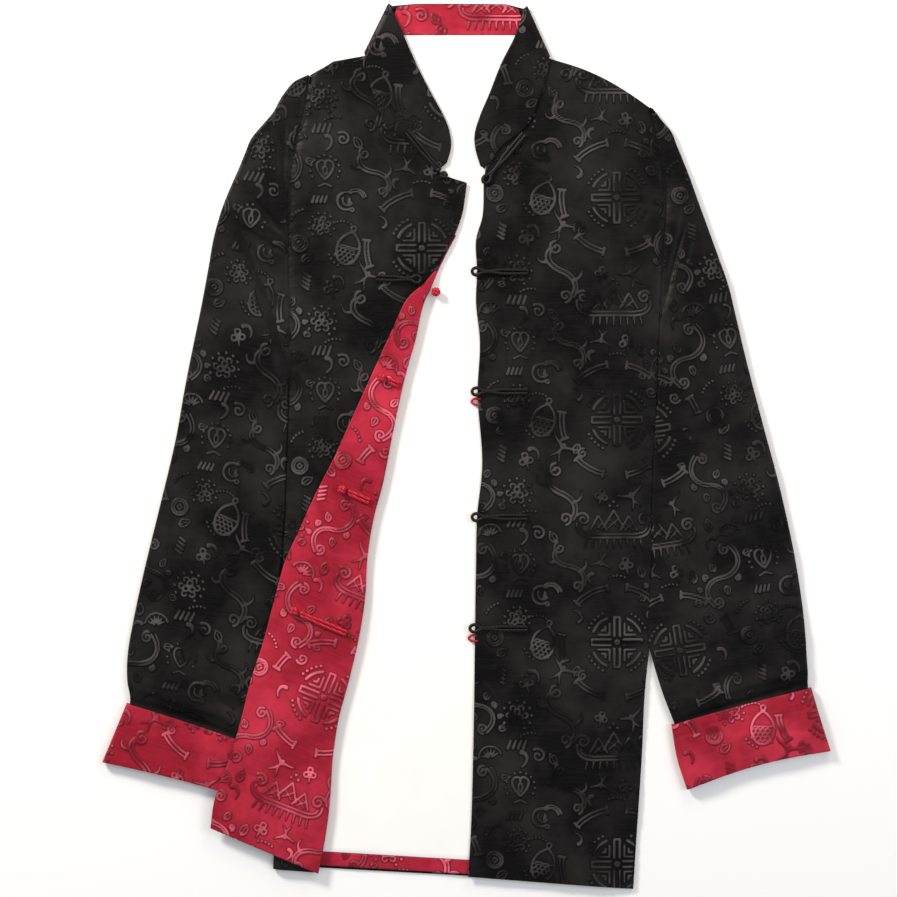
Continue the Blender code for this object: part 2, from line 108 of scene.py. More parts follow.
FRONT_LEFT = [
    (-134.5, -384, -174, -381, 0, 0.2),
    (-130, -362, -173, -355, 0, 0.2),
    (-124.5, -325, -171, -325, 0, 0.2),
    (-121, -276, -170, -276, 0, 0.3),
    (-116.5, -247, -169.5, -247, 0, 0.3),
    (-106.5, -209, -169, -209, 0, 0.3),
    (-97.5, -170, -168, -170, 0, 0.3),
    (-92, -133, -167, -133, 0, 0.3),
    (-90.5, -103, -166.5, -103, 0, 0.3),
    (-83.5, -60, -164, -57, 0, 0.4),
    (-77.5, -38, -163, -30, 0, 0.4),
    (-67, 14, -161.5, 14, 0, 0.4),
    (-56, 64, -160, 64, 0, 0.4),
    (-47, 96, -160, 96, 0, 0.4),
    (-39, 130, -160, 130, 0, 0.8),
    (-31, 146, -160.5, 146, 0, 0.8),
    (-24, 163, -160.5, 163, 0, 1.4),
    (-10.5, 190, -160.5, 190, 0, 1.4),
    (-4, 208, -160, 208, 0, 1.4),
    (0.5, 237, -159.5, 230, 0, 1.4),
    (-17.5, 243, -159, 241, 0, 1.4),
    (-28.5, 250, -157.5, 252, 0, 1.4),
    (-44.5, 269, -154, 266, 0, 1.4),
    (-54.5, 277, -152, 277, 0, 1.4),
    (-69, 288, -149, 289, 0, 1.4),
    (-82.5, 316, -145, 308, 0, 1.4),
    (-91.5, 351, -140.5, 334, 3, 1.4),
]

# The turned-back part: where it folds, and how wide it lies from the fold to its free edge.
TURN_COLUMNS = ("fold_x", "fold_y", "width", "fold_z", "edge_z")
TURNED_FRONT = [
    (-134.5, -384, 104.0, 6.1, 6.8),
    (-130, -362, 105.5, 6.1, 7.8),
    (-124.5, -325, 98.5, 6.1, 8.2),
    (-121, -276, 87.5, 6.1, 8.2),
    (-116.5, -247, 85.0, 6.1, 8.0),
    (-106.5, -209, 83.0, 6.1, 7.5),
    (-97.5, -170, 81.7, 6.1, 7.2),
    (-92, -133, 77.0, 6.1, 7.0),
    (-90.5, -103, 66.0, 6.1, 6.9),
    (-83.5, -60, 54.5, 6.1, 6.8),
    (-77.5, -38, 49.7, 6.1, 6.7),
    (-67, 14, 37.4, 6.2, 6.6),
    (-56, 64, 26.7, 6.2, 6.5),
    (-47, 96, 21.5, 6.3, 6.5),
    (-39, 130, 13.0, 6.5, 6.6),
]
TURN_DIRECTION = Vector((-0.92, 0.39))     # across the turned part, from its fold
TURN_ANGLE = -22.0         # degrees that its weave is turned by

# The back, from side to side: a row from hem to shoulders.
BACK_COLUMNS = ("left_x", "left_y", "right_x", "right_y")
BACK = [
    (-173, -378, 149.5, -396),
    (-172, -345, 152.5, -352),
    (-170, -276, 158, -276),
    (-169, -209, 160.5, -222),
    (-168, -170, 164.8, -180),
    (-166.5, -103, 167, -110),
    (-164, -57, 167, -64),
    (-162, -20, 168, -20),
    (-160, 49, 172, 49),
    (-160, 96, 173.5, 95),
    (-160, 130, 175, 131),
    (-160.5, 163, 176, 157),
    (-160.5, 190, 177, 180),
    (-160, 208, 179, 206),
    (-159.5, 230, 179.5, 230),
    (-159, 241, 178, 244),
    (-157.5, 252, 174, 259),
    (-152, 277, 171, 274),
    (-149, 289, 169, 287),
    (-145, 308, 166.5, 299),
]
SHOULDER_LINE = [
    (-140.5, 334), (-120, 347), (-91.5, 352), (-57, 371.5), (-6.5, 371.5),
    (44, 371.5), (74, 350), (109, 338.6), (137, 321.8), (165, 304.5),
]

# What shows between the fronts: the back's lining, which stops short of the side seams, and
# the facing below it.
LINING = [
    (-146, -364.5, 125, -380.5),
    (-146, -100, 140, -110),
    (-138, 150, 150, 150),
    (-125, 250, 145, 250),
    (-108, 305, 130, 300),
    (-82, 349, 68, 347),
    (-57.5, 370.5, 44.5, 370.5),
]

# Sleeves: a row from the body side to the outer edge, shoulder first.
SLEEVE_COLUMNS = ("inner_x", "inner_y", "outer_x", "outer_y", "base", "swell")
SLEEVE_RIGHT = [
    (165.4, 305, 168.0, 304, 0, 0.0),
    (166.5, 299, 176, 293.5, 0, 0.0),
    (169, 287, 185, 282.5, 0, 0.2),
    (171, 274, 190, 270, 0, 0.4),
    (174, 259, 196, 255.5, 0, 0.5),
    (178, 244, 202, 240, 0, 0.6),
    (179.5, 230, 208, 223, 0, 0.8),
    (179, 206, 216.4, 200, 0, 1),
    (177, 180, 226.5, 172, 0, 1),
    (176, 157, 236, 145, 0, 1),
    (175, 131, 243, 116, 0, 1),
    (173.5, 95, 252, 78, 0, 1),
    (172, 49, 265, 28, 0, 1),
    (168, -20, 283, -40, 0, 1),
    (167, -64, 292.4, -82, 0, 1),
    (167, -110, 298.5, -115, 0, 1),
    (164.8, -180, 305.6, -172, 0, 0.85),
    (168.5, -195, 306.5, -188, 0.6, 0.6),
    (178, -225.5, 307.5, -204.5, 1.9, 0.2),
    (188, -251.5, 307.5, -217, 1.9, 0),
    (201.5, -304, 322, -271.5, 1.9, 0),
]
SLEEVE_LEFT = [
    (-140.9, 332.5, -142.8, 334.5, 0, 0.0),
    (-142.6, 322, -155, 328.5, 0, 0.0),
    (-145, 308, -166, 315.5, 0, 0.2),
    (-149, 289, -175, 299.7, 0, 0.4),
    (-152, 277, -186, 287, 0, 0.5),
    (-154, 266, -194, 277, 0, 0.6),
    (-157.5, 252, -199.5, 264, 0, 0.7),
    (-159, 241, -205, 250.5, 0, 0.8),
    (-159.5, 230, -211, 237, 0, 0.9),
    (-160, 208, -221, 212, 0, 1),
    (-160.5, 190, -227.5, 189, 0, 1),
    (-160.5, 163, -232.3, 162, 0, 1),
    (-160, 130, -239, 126, 0, 1),
    (-160, 96, -246, 92, 0, 1),
    (-160, 64, -253, 57, 0, 1),
    (-161.5, 14, -261.5, 9, 0, 1),
    (-164, -57, -277, -57, 0, 1),
    (-166.5, -103, -289.5, -108, 0, 1),
    (-169.5, -150, -300, -156, 0, 0.9),
    (-174, -200, -305.5, -190, 0.6, 0.6),
    (-180, -240, -305.5, -212, 1.9, 0.2),
    (-188, -270.5, -303, -230, 1.9, 0),
    (-200, -311, -321, -281, 1.9, 0),
]

# Cuffs: the rim that lies on the sleeve, a middle row, and the folded end.
CUFF_COLUMNS = ("inner_x", "inner_y", "outer_x", "outer_y", "bow")
CUFF_RIGHT = [
    (184.5, -251, 310.5, -217.5, 1),
    (189.5, -281, 319, -246, 2),
    (198.5, -309.5, 328, -274.5, 5),
]
CUFF_LEFT = [
    (-184, -272, -306, -231.5, 1),
    (-190.5, -295, -317, -258, 1),
    (-197, -318, -328, -284.5, 2),
]

# Collar: from one front end round the back of the neck to the other. The seam side joins the
# neckline and the rim side is free; bed is the height of the band's underside.
COLLAR_COLUMNS = ("seam_x", "seam_y", "rim_x", "rim_y", "bed")
COLLAR = [
    (-24, 250, -17.5, 255, 4.0),
    (-31, 256.5, -14, 268, 4.0),
    (-43, 270, -16, 286, 4.1),
    (-54, 279, -21, 298, 4.2),
    (-67.5, 290, -33, 320, 4.2),
    (-80.5, 317, -46.5, 347, 4.2),
    (-86, 335, -57, 371, 4.2),
    (-89.5, 352, -67, 394, 4.1),
    (-92.5, 354, -70.5, 399, 2.1),
    (-89.5, 353.5, -67, 397, 0.0),
    (-57, 373, -45, 399, 0.0),
    (-6.5, 373, -6.5, 399, 0.0),
    (44, 373, 36, 398.5, 0.0),
    (72, 352, 51.5, 394.5, 0.0),
    (75.5, 351, 55, 396.5, 2.1),
    (73, 350, 51.5, 391, 4.1),
    (68.5, 334, 43.5, 369, 4.2),
    (63, 317, 32, 346, 4.2),
    (50.5, 290, 20, 316, 4.2),
    (37, 279, 12, 297, 4.2),
    (28, 271.5, 7.5, 282, 4.1),
    (20, 259, 8, 267, 4.0),
    (16.5, 250, 12.5, 252, 4.0),
]
COLLAR_LINING_SIDE = 5.0    # the lining of the band stops this far inside its folds
COLLAR_LINING_LAP = 2.6     # and reaches this far over the lining of the back,
COLLAR_LINING_SHORT = 1.0   # and this far short of the rim

# Frog fastenings: the sewn end of the strap and the end at the placket's edge.
CORD_RADIUS = 1.5
STRAP_HALF = 1.7       # from the middle of a strap to the middle of each of its two cords
KNOT_RADIUS = 4.6
LOOP_LENGTH = 7.0
LOOP_HALF = 3.4
FROG_COLUMNS = ("name", "start", "end", "lies_on", "cloth", "ends_in")
FROGS = [
    ("frog_collar_knot", (-54, 283), (-26, 249.5), ("front_left", "collar"), "black", "knot"),
    ("frog_left_2", (-82, 151), (-48, 150), ("front_left",), "black", "loop"),
    ("frog_turned_3", (-61, 55), (-68.5, 58), ("front_left_facing",), "red", "knot"),
    ("frog_turned_4", (-87, -50), (-104, -42.5), ("front_left_facing",), "red", "knot"),
    ("frog_turned_5", (-108, -168), (-147, -151.5), ("front_left_facing",), "red", "knot"),
    ("frog_collar_loop", (52, 281), (20, 242.5), ("front_right", "collar"), "black", "loop"),
    ("frog_right_2", (55, 156.5), (12, 157), ("front_right",), "black", "loop"),
    ("frog_right_3", (55, 49), (12, 49), ("front_right",), "black", "loop"),
    ("frog_right_4", (55, -64), (12, -64), ("front_right",), "black", "loop"),
    ("frog_right_5", (55, -164), (10, -164), ("front_right",), "black", "loop"),
]
# Loops of the red side's frogs that show past the free edge from beneath, and one red knot.
RED_CORD_RADIUS = 1.1
RED_LOOPS = [("frog_red_loop_3", (9.6, 40)), ("frog_red_loop_5", (7.0, -173))]
RED_KNOT = ("frog_red_knot_2", (-27.5, 138.5), 7.0)


# ---- Reading the tables ------------------------------------------------------------------

def named(columns, table):
    """A table's rows as dictionaries keyed by its column names."""
    return [dict(zip(columns, row)) for row in table]


def between(start, end, share):
    return start + (end - start) * share


def ease(share):
    """0 to 1 with soft ends."""
    share = np.clip(share, 0, 1)
    return share * share * (3 - 2 * share)


def swell(share):
    """1 in the middle of a stretch, 0 at both its ends."""
    return np.sin(np.pi * np.clip(share, 0, 1))


def hermite(at, values, where, sharp=()):
    """Values given at the distances `at`, read at `where` on smooth curves with sharp rows."""
    steps = np.diff(at)
    slopes = np.diff(values, axis=0) / steps[:, None]
    before, after = np.concatenate([slopes[:1], slopes]), np.concatenate([slopes, slopes[-1:]])
    step_before = np.concatenate([steps[:1], steps])[:, None]
    step_after = np.concatenate([steps, steps[-1:]])[:, None]
    middle = (before * step_after + after * step_before) / (step_before + step_after)
    leaving, arriving = middle.copy(), middle.copy()
    for row in sharp:
        leaving[row], arriving[row] = after[row], before[row]
    part = np.clip(np.searchsorted(at, where, side="right") - 1, 0, len(at) - 2)
    length = steps[part][:, None]
    t = (np.clip(where, at[0], at[-1])[:, None] - at[part][:, None]) / length
    return ((2 * t ** 3 - 3 * t ** 2 + 1) * values[part] + (t ** 3 - 2 * t ** 2 + t) * length
            * leaving[part] + (3 * t ** 2 - 2 * t ** 3) * values[part + 1]
            + (t ** 3 - t ** 2) * length * arriving[part + 1])


def stations(count, first=TURN_IN, last=TURN_IN):
    """Places across a cloth as rows of (share, offset, drop): share x length + offset.

    At an end with a turning the cloth rolls under, and the turning reaches that far back in;
    None leaves the end as it is. The drop is a share of the thickness.
    """
    shares = np.linspace(0, 1, count)
    margin_first = RIM[-1][0] if first is not None else 0
    margin_last = RIM[-1][0] if last is not None else 0
    rows = [(share, margin_first * (1 - share) - margin_last * share, 0.0) for share in shares]
    if first is not None:
        rows = [(0.0, inset, drop) for inset, drop in ((first, 1.0), *RIM[:-1])] + rows
    if last is not None:
        rows += [(1.0, -inset, drop) for inset, drop in (*RIM[-2::-1], (last, 1.0))]
    return np.array(rows)


def fine_rows(columns, table, step, points, first=TURN_IN, last=TURN_IN, sharp=()):
    """A table read at fine rows: its columns as arrays, and the drop of each row.

    Points are the pairs of columns whose mean distance from row to row is the length.
    """
    values = np.array(table, float)
    chords = [np.hypot(*np.diff(values[:, [columns.index(name) for name in pair]], axis=0).T)
              for pair in points]
    at = np.concatenate([[0.0], np.cumsum(np.mean(chords, axis=0))])
    share, offset, drop = stations(round(at[-1] / step), first, last).T
    along = share * at[-1] + offset
    here = dict(zip(columns, (column[:, None] for column in hermite(at, values, along, sharp).T)))
    here["along"] = along[:, None]
    return here, drop[:, None]


# ---- Creases and the fall of the cloth ---------------------------------------------------

# Creases pressed into each piece: bent lines with a steep side and a soft one. A height below
# zero is a trough.
CREASE_COLUMNS = ("start", "bend", "end", "half_width", "height")
CREASES = {
    # the right front: folds hanging from the shoulder, and the crease across it at the vent
    "front_right": [
        ((72, 347), (88, 320), (112, 262), 7.0, 0.9),
        ((118, 322), (124, 300), (121, 262), 9.0, 1.3),
        ((134, 318), (150, 280), (146, 232), 6.0, 0.7),
        ((84, 215), (96, 190), (92, 158), 8.0, 1.1),
        ((66, 132), (88, 116), (108, 92), 8.5, 1.6),
        ((110, 150), (112, 100), (104, 58), 5.0, -0.6),
        ((46, 236), (44, 200), (50, 170), 6.0, 0.5),
        ((148, 190), (158, 150), (156, 96), 6.0, 0.6),
        ((28, 20), (32, -30), (26, -92), 8.0, 0.5),
        ((88, 18), (92, -60), (86, -140), 9.0, 0.7),
        ((138, -6), (132, -50), (139, -120), 7.0, 0.6),
        ((104, -176), (134, -179), (166, -178), 2.2, -1.3),
        ((96, -170), (126, -173), (166, -172), 3.4, 0.9),
        ((60, -210), (70, -280), (58, -350), 10.0, 0.6),
        ((116, -200), (112, -270), (124, -372), 8.0, 0.8),
        ((20, -250), (40, -262), (78, -256), 7.0, 0.4),
        ((96, -318), (120, -330), (148, -322), 6.0, 0.5),
    ],
    # the left front: drawn towards the turned-back part
    "front_left": [
        ((-112, 330), (-104, 296), (-110, 240), 8.0, 0.9),
        ((-130, 300), (-140, 262), (-136, 214), 6.0, 0.7),
        ((-84, 258), (-76, 214), (-84, 170), 7.0, 0.8),
        ((-58, 214), (-62, 170), (-80, 132), 6.0, 1.0),
        ((-104, 176), (-88, 150), (-62, 128), 8.0, 1.2),
        ((-138, 150), (-124, 110), (-128, 60), 7.0, 0.7),
        ((-92, 96), (-100, 50), (-96, 0), 7.0, 0.6),
        ((-150, 40), (-144, -10), (-150, -66), 5.0, 0.6),
        ((-116, -24), (-120, -80), (-132, -126), 6.0, 0.6),
    ],
    # the right sleeve: the drag lines at the armhole, and folds at the elbow
    "sleeve_right": [
        ((197, 202), (186, 165), (178, 124), 3.2, -1.9),
        ((205, 196), (194, 160), (184, 116), 4.5, 1.2),
        ((190, 238), (192, 214), (186, 188), 4.5, 0.9),
        ((224, 150), (206, 118), (186, 92), 6.0, 0.9),
        ((246, 66), (222, 44), (184, 38), 7.0, 1.0),
        ((252, 30), (226, 12), (190, 10), 4.0, -0.7),
        ((268, -16), (240, -36), (196, -28), 8.0, 1.1),
        ((280, -66), (250, -84), (200, -70), 5.0, -0.7),
        ((214, -86), (222, -130), (214, -184), 9.0, 0.9),
        ((262, -104), (270, -150), (266, -204), 7.0, 0.8),
        ((306, -200), (250, -217), (186, -235), 5.2, 3.4),
        ((309, -213), (250, -231), (188, -248), 3.0, -2.6),
        ((188, -222), (240, -202), (300, -186), 5.0, -0.6),
    ],
    # the left sleeve: two long drag lines to the armhole, and folds at the elbow
    "sleeve_left": [
        ((-216, 208), (-190, 188), (-160, 173), 3.0, -2.0),
        ((-212, 218), (-186, 198), (-162, 186), 4.5, 1.3),
        ((-203, 190), (-180, 132), (-163, 72), 3.4, -2.2),
        ((-212, 182), (-190, 124), (-171, 60), 5.0, 1.6),
        ((-194, 226), (-176, 208), (-161, 186), 2.6, -1.5),
        ((-163, 290), (-166, 258), (-164, 222), 3.0, -2.0),
        ((-178, 284), (-182, 254), (-178, 222), 6.0, 1.0),
        ((-236, 118), (-216, 88), (-190, 66), 6.0, 0.8),
        ((-250, 62), (-224, 40), (-186, 44), 7.0, 1.0),
        ((-262, 14), (-232, -2), (-190, 4), 5.0, -0.8),
        ((-272, -40), (-240, -62), (-204, -50), 7.5, 1.2),
        ((-286, -92), (-250, -112), (-214, -98), 6.0, 0.8),
        ((-224, -120), (-216, -160), (-222, -206), 8.0, 0.8),
        ((-272, -128), (-280, -170), (-272, -214), 7.0, 0.8),
        ((-184, -256), (-244, -234), (-304, -215), 5.2, 3.4),
        ((-184, -269), (-244, -248), (-305, -228), 3.0, -2.6),
        ((-184, -243), (-240, -222), (-300, -202), 5.0, -0.6),
    ],
    # the turned-back part, soft along its fold and drawn at its knots
    "front_left_facing": [
        ((-66, 30), (-62, 50), (-56, 72), 4.0, 0.7),
        ((-110, -30), (-92, -52), (-84, -86), 5.0, 1.0),
        ((-122, -58), (-114, -98), (-128, -136), 7.0, 1.1),
        ((-100, -118), (-112, -150), (-108, -190), 5.0, 0.9),
        ((-158, -150), (-160, -198), (-176, -240), 7.0, 0.9),
        ((-132, -196), (-140, -250), (-136, -300), 8.0, 1.0),
        ((-168, -280), (-180, -310), (-206, -330), 6.0, 0.8),
        ((-150, -322), (-158, -350), (-176, -366), 5.0, 0.8),
    ],
    # the collar's two ends and the cuffs
    "collar": [
        ((-60, 372), (-48, 336), (-30, 300), 4.0, 0.6),
        ((44, 372), (36, 340), (22, 306), 4.0, 0.6),
    ],
    "cuff_right": [
        ((206, -262), (240, -268), (290, -250), 6.0, 0.8),
        ((212, -290), (232, -278), (246, -288), 5.0, -0.5),
        ((280, -262), (300, -258), (318, -262), 4.0, 0.6),
    ],
    "cuff_left": [
        ((-206, -284), (-240, -268), (-290, -262), 6.0, 0.8),
        ((-224, -302), (-236, -288), (-250, -290), 5.0, -0.5),
        ((-282, -270), (-296, -262), (-312, -270), 4.0, 0.6),
    ],
}

CREASE_PARTS = 12          # the straight parts that a bent line is measured along
STEEP_SIDE, SOFT_SIDE = 0.75, 1.35           # shares of the half width

# The slow rise and fall of cloth that lies loose: wave length across x and y, phase, height.
LOOSE_WAVES = [
    (83, 131, 0.4, 0.26), (-57, 94, 2.1, 0.20), (41, 63, 4.0, 0.13),
    (-33, 47, 1.2, 0.09), (150, -71, 5.2, 0.30), (24, 29, 3.1, 0.05),
]


def press_creases(on, points):
    """Height in millimetres that the creases of a piece, and its looseness, add at points."""
    x, y = points[..., 0], points[..., 1]
    height = sum(size * np.sin(2 * np.pi * (x / across + y / along) + phase)
                 for across, along, phase, size in LOOSE_WAVES)
    for crease in named(CREASE_COLUMNS, CREASES.get(on, [])):
        start, bend, end = (np.array(crease[name], float) for name in ("start", "bend", "end"))
        t = np.linspace(0, 1, CREASE_PARTS + 1)[:, None]
        line = (1 - t) ** 2 * start + 2 * (1 - t) * t * bend + t ** 2 * end
        reach = 3.2 * crease["half_width"]
        low, high = line.min(0) - reach, line.max(0) + reach
        beside = (x > low[0]) & (x < high[0]) & (y > low[1]) & (y < high[1])
        if not beside.any():
            continue
        place = np.stack([x[beside], y[beside]], axis=1)
        best = np.full(len(place), 1e9)
        aside, along = np.zeros(len(place)), np.zeros(len(place))
        for part, (a, b) in enumerate(zip(line[:-1], line[1:])):
            run = b - a
            share = np.clip((place - a) @ run / (run @ run), 0, 1)
            away = place - a - share[:, None] * run
            distance = np.hypot(*away.T)
            closer = distance < best
            side = np.sign(run[0] * away[:, 1] - run[1] * away[:, 0])
            best = np.where(closer, distance, best)
            aside = np.where(closer, distance * side, aside)
            along = np.where(closer, (part + share) / CREASE_PARTS, along)
        width = crease["half_width"] * np.where(aside > 0, STEEP_SIDE, SOFT_SIDE)
        fade = swell(0.06 + 0.88 * along) ** 0.8
        height[beside] += crease["height"] * fade * np.exp(-(aside / width) ** 2)
    return height


# ---- The woven figure --------------------------------------------------------------------

# One repeat of the brocade is drawn with a round pen, as discs of (x, y, radius) along each
# stroke, in millimetres, and turned into distances from the drawn lines.

REPEAT_WIDTH = 174.0
REPEAT_HEIGHT = 200.0
CHART_STEP = 0.5           # how finely the distances are kept
PEN_STEP = 0.4             # how closely the discs of a stroke follow each other
REACH = 3.0                # distances further than this from a line are not needed
LINE = 1.9                 # width of a plain line of the figure
FINE_LINE = 1.45           # and of a line in a pair or a lattice


def stroke(points, width=LINE, end_width=None):
    """A pen line through the points, which may taper to another width."""
    points = np.array(points, float)
    runs = np.hypot(*np.diff(points, axis=0).T)
    along = np.concatenate([[0.0], np.cumsum(runs)])
    steps = np.linspace(0.0, along[-1], max(2, int(along[-1] / PEN_STEP) + 1))
    widths = np.interp(steps, [0.0, along[-1]], [width, end_width or width])
    return np.stack([np.interp(steps, along, points[:, 0]),
                     np.interp(steps, along, points[:, 1]), widths / 2], axis=1)


def arc(x, y, radius, start=0.0, end=360.0, width=LINE, end_radius=None, end_width=None):
    """Part of a circle, or of a spiral when it ends at another radius. Angles in degrees."""
    turn = np.radians(np.linspace(start, end, max(5, int(abs(end - start) / 8))))
    radii = np.linspace(radius, radius if end_radius is None else end_radius, len(turn))
    return stroke(np.stack([x + radii * np.cos(turn), y + radii * np.sin(turn)], axis=1),
                  width, end_width)


def dots(x, y, radius, count, start=0.0, end=360.0, size=2.2):
    """Dots spread along an arc, both ends included unless it is a full circle."""
    turn = np.radians(np.linspace(start, end, count, endpoint=end - start < 360))
    return np.stack([x + radius * np.cos(turn), y + radius * np.sin(turn),
                     np.full(count, size / 2)], axis=1)


def bend(start, pull_start, pull_end, end, width=LINE, end_width=None):
    """A Bezier line."""
    t = np.linspace(0, 1, 24)[:, None]
    corners = [np.array(corner, float) for corner in (start, pull_start, pull_end, end)]
    path = ((1 - t) ** 3 * corners[0] + 3 * (1 - t) ** 2 * t * corners[1]
            + 3 * (1 - t) * t ** 2 * corners[2] + t ** 3 * corners[3])
    return stroke(path, width, end_width)


def placed(motif, x=0.0, y=0.0, turn=0.0, size=1.0, flip=False):
    """A motif moved, turned by degrees, made larger or smaller, or mirrored."""
    discs = np.concatenate(motif) if isinstance(motif, list) else motif.copy()
    discs = discs.copy()
    if flip:
        discs[:, 0] *= -1
    angle = math.radians(turn)
    old_x, old_y = discs[:, 0] * size, discs[:, 1] * size
    discs[:, 0] = x + old_x * math.cos(angle) - old_y * math.sin(angle)
    discs[:, 1] = y + old_x * math.sin(angle) + old_y * math.cos(angle)
    discs[:, 2] *= size ** 0.5
    return discs


def both_sides(motif):
    """A motif and its mirror image across x = 0."""
    return [placed(motif), placed(motif, flip=True)]


def four_ways(motif):
    return [placed(motif, turn=turn) for turn in (0, 90, 180, 270)]


def roundel():
    """A medallion: a barred cross in a broken ring, with stepped corners and beads outside."""
    arm = [stroke([(-2.4, 5.5), (-2.4, 20.5)], FINE_LINE + 0.5),
           stroke([(2.4, 5.5), (2.4, 20.5)], FINE_LINE + 0.5),
           stroke([(-2.4, 21.5), (2.4, 21.5)], FINE_LINE + 0.4)]
    corner = [arc(0, 0, 22.0, 24, 66, LINE + 0.3),
              stroke([(6.4, 16.0), (6.4, 6.4), (16.0, 6.4)], FINE_LINE + 0.2),
              stroke([(10.0, 13.2), (10.0, 10.0), (13.2, 10.0)], LINE),
              dots(0, 0, 27.0, 5, 27, 63, 2.5)]
    middle = [arc(0, 0, 1.6, width=LINE)]
    return middle + four_ways(arm) + four_ways(corner)


def on_circle(radius, angle, x=0.0, y=0.0):
    """A point on a circle, at an angle in degrees."""
    turn = math.radians(angle)
    return x + radius * math.cos(turn), y + radius * math.sin(turn)


def double_arc(radius, start, end, x=0.0, y=0.0):
    """Two lines side by side along a circle, joined by a bar at each end."""
    lines = [arc(x, y, radius - 1.7, start, end, FINE_LINE + 0.2),
             arc(x, y, radius + 1.7, start, end, FINE_LINE + 0.2)]
    for turn in (start, end):
        lines.append(stroke([on_circle(radius + reach, turn, x, y) for reach in (-3.2, 3.2)],
                            LINE + 0.3))
    return lines


def curl(size=6.5, turns=1.35, start=0.0, way=1):
    """A spiral that opens out from its eye."""
    return arc(0, 0, 1.0, start, start + way * 360 * turns, FINE_LINE + 0.2, size, LINE + 0.3)


def scroll():
    """An S of two lines with a curl at each end and small leaves on its back."""
    spine = [bend((-6, 20), (-16, 12), (-6, 2), (2, -2), LINE),
             bend((2, -2), (10, -7), (14, -14), (8, -22), LINE),
             bend((-2.6, 21), (-12, 12), (-3, 4), (4, 0.6), FINE_LINE),
             bend((4, 0.6), (13, -5), (18, -14), (10, -24), FINE_LINE)]
    ends = [placed(curl(6.0, 1.3, 200, -1), -0.5, 20), placed(curl(5.6, 1.3, 20, -1), 3.0, -22)]
    leaves = [bend((-10, 9), (-16, 8), (-18, 12), (-17, 16), LINE + 0.8, 0.8),
              bend((12, -9), (18, -8), (20, -4), (19, 0), LINE + 0.8, 0.8)]
    return spine + ends + leaves


def hook():
    """A curled hook with a drop in its mouth."""
    return [arc(0, 0, 9.0, 60, 300, LINE + 0.5, 8.0, LINE), arc(1.5, 1, 5.0, 150, 330, FINE_LINE),
            bend((4.6, 7.6), (8, 11), (14, 9), (16, 3), FINE_LINE + 0.3),
            bend((3.5, 9.5), (8, 14), (16, 12), (19, 4), FINE_LINE + 0.3),
            stroke([(3.0, -1.0), (3.4, 4.0)], LINE + 1.4, 1.0),
            arc(5.5, -8.0, 1.8, 0, 360, FINE_LINE)]


def flower():
    """A small blossom: a heart of three petals, a scalloped ring and beads round most of it."""
    petals = [arc(*on_circle(3.1, turn), 2.2, width=FINE_LINE) for turn in (90, 210, 330)]
    rim = [arc(*on_circle(6.6, turn), 2.1, turn - 100, turn + 100, FINE_LINE)
           for turn in range(0, 360, 60)]
    return petals + rim + [dots(0, 0, 12.0, 10, -60, 210, 2.4)]


def heart():
    """A heart on a stem, beaded all round."""
    lobe = [bend((0, -8), (7, -2), (9, 5), (5, 7.4), LINE), arc(2.7, 5.4, 2.9, 40, 190, LINE),
            stroke([(0, -11.5), (5.5, -14.0)], FINE_LINE)]
    kernel = bend((0, 3.4), (2.6, 1.4), (2.2, -2.6), (0, -4.4), FINE_LINE)
    return both_sides(lobe) + both_sides(kernel) + [dots(0, 0, 12.4, 11, -28, 208, 2.2)]


def pouch():
    """A drop-shaped purse with a scaled lower half and a tied neck."""
    side = [bend((0, 14), (7, 10), (13, 1), (8, -9), LINE),
            bend((8, -9), (6, -13), (3, -14), (0, -14.5), LINE)]
    scales = [arc(column * 4.0 + (row % 2) * 2.0, -3.0 - row * 3.2, 2.0, 0, 180, FINE_LINE * 0.8)
              for row in range(4) for column in range(-2 + row // 3, 2)]
    return both_sides(side) + scales + [stroke([(-7, 1.0), (8, 1.0)], FINE_LINE),
                                        arc(0, 17, 2.2, width=FINE_LINE),
                                        dots(0, 0, 17.5, 4, 215, 255, 2.0)]


def bars(count=4, height=6.5, pitch=4.2, lean=1.2):
    """Short slanting strokes in a row."""
    first = -(count - 1) * pitch / 2
    return [stroke([(first + place * pitch - lean, -height / 2),
                    (first + place * pitch + lean, height / 2)], LINE + 0.5, LINE - 0.4)
            for place in range(count)]


def trefoil():
    petals = [arc(*on_circle(3.0, turn), 1.9, width=FINE_LINE) for turn in (90, 200, 340)]
    return petals + [stroke([(0, -1), (0, -7)], LINE, 0.8)]


def bird():
    """A swallow seen from above: a body, two swept wings and a forked tail."""
    wing = bend((0, 1), (5, 5), (9, 4), (13, 8), LINE + 1.0, 0.8)
    tail = bend((0, -2), (1, -6), (3, -8), (5, -11), LINE, 0.8)
    return both_sides([wing, tail]) + [stroke([(0, 4), (0, -4)], LINE + 1.6, 1.2)]


def cloud():
    """A wide cloud scroll: a curl at each side, three peaks of fine lattice, and a fringe."""
    side = [placed(curl(5.5, 1.4, 180, -1), 25, 6), bend((30, 3), (32, -6), (24, -10), (12, -9)),
            bend((27, 0), (28, -4), (22, -6.5), (12, -6), FINE_LINE)]
    peak = [stroke([(-7, -3), (0, 9), (7, -3)], FINE_LINE), stroke([(-3.5, 3), (3.5, -3)], 0.9),
            stroke([(3.5, 3), (-3.5, -3)], 0.9), dots(0, 0, 0.5, 1, size=1.8)]
    peaks = [placed(peak, -12.5, 0), placed(peak, 0, 3, size=1.15), placed(peak, 12.5, 0)]
    fringe = [stroke([(place, -11), (place * 1.06, -17)], FINE_LINE, 0.7)
              for place in np.linspace(-22, 22, 9)]
    return both_sides(side) + peaks + fringe + [stroke([(-12, -6), (12, -6)], FINE_LINE),
                                                stroke([(-12, -9), (12, -9)], LINE),
                                                dots(0, 17, 3.2, 3, 0, 180, 2.4)]


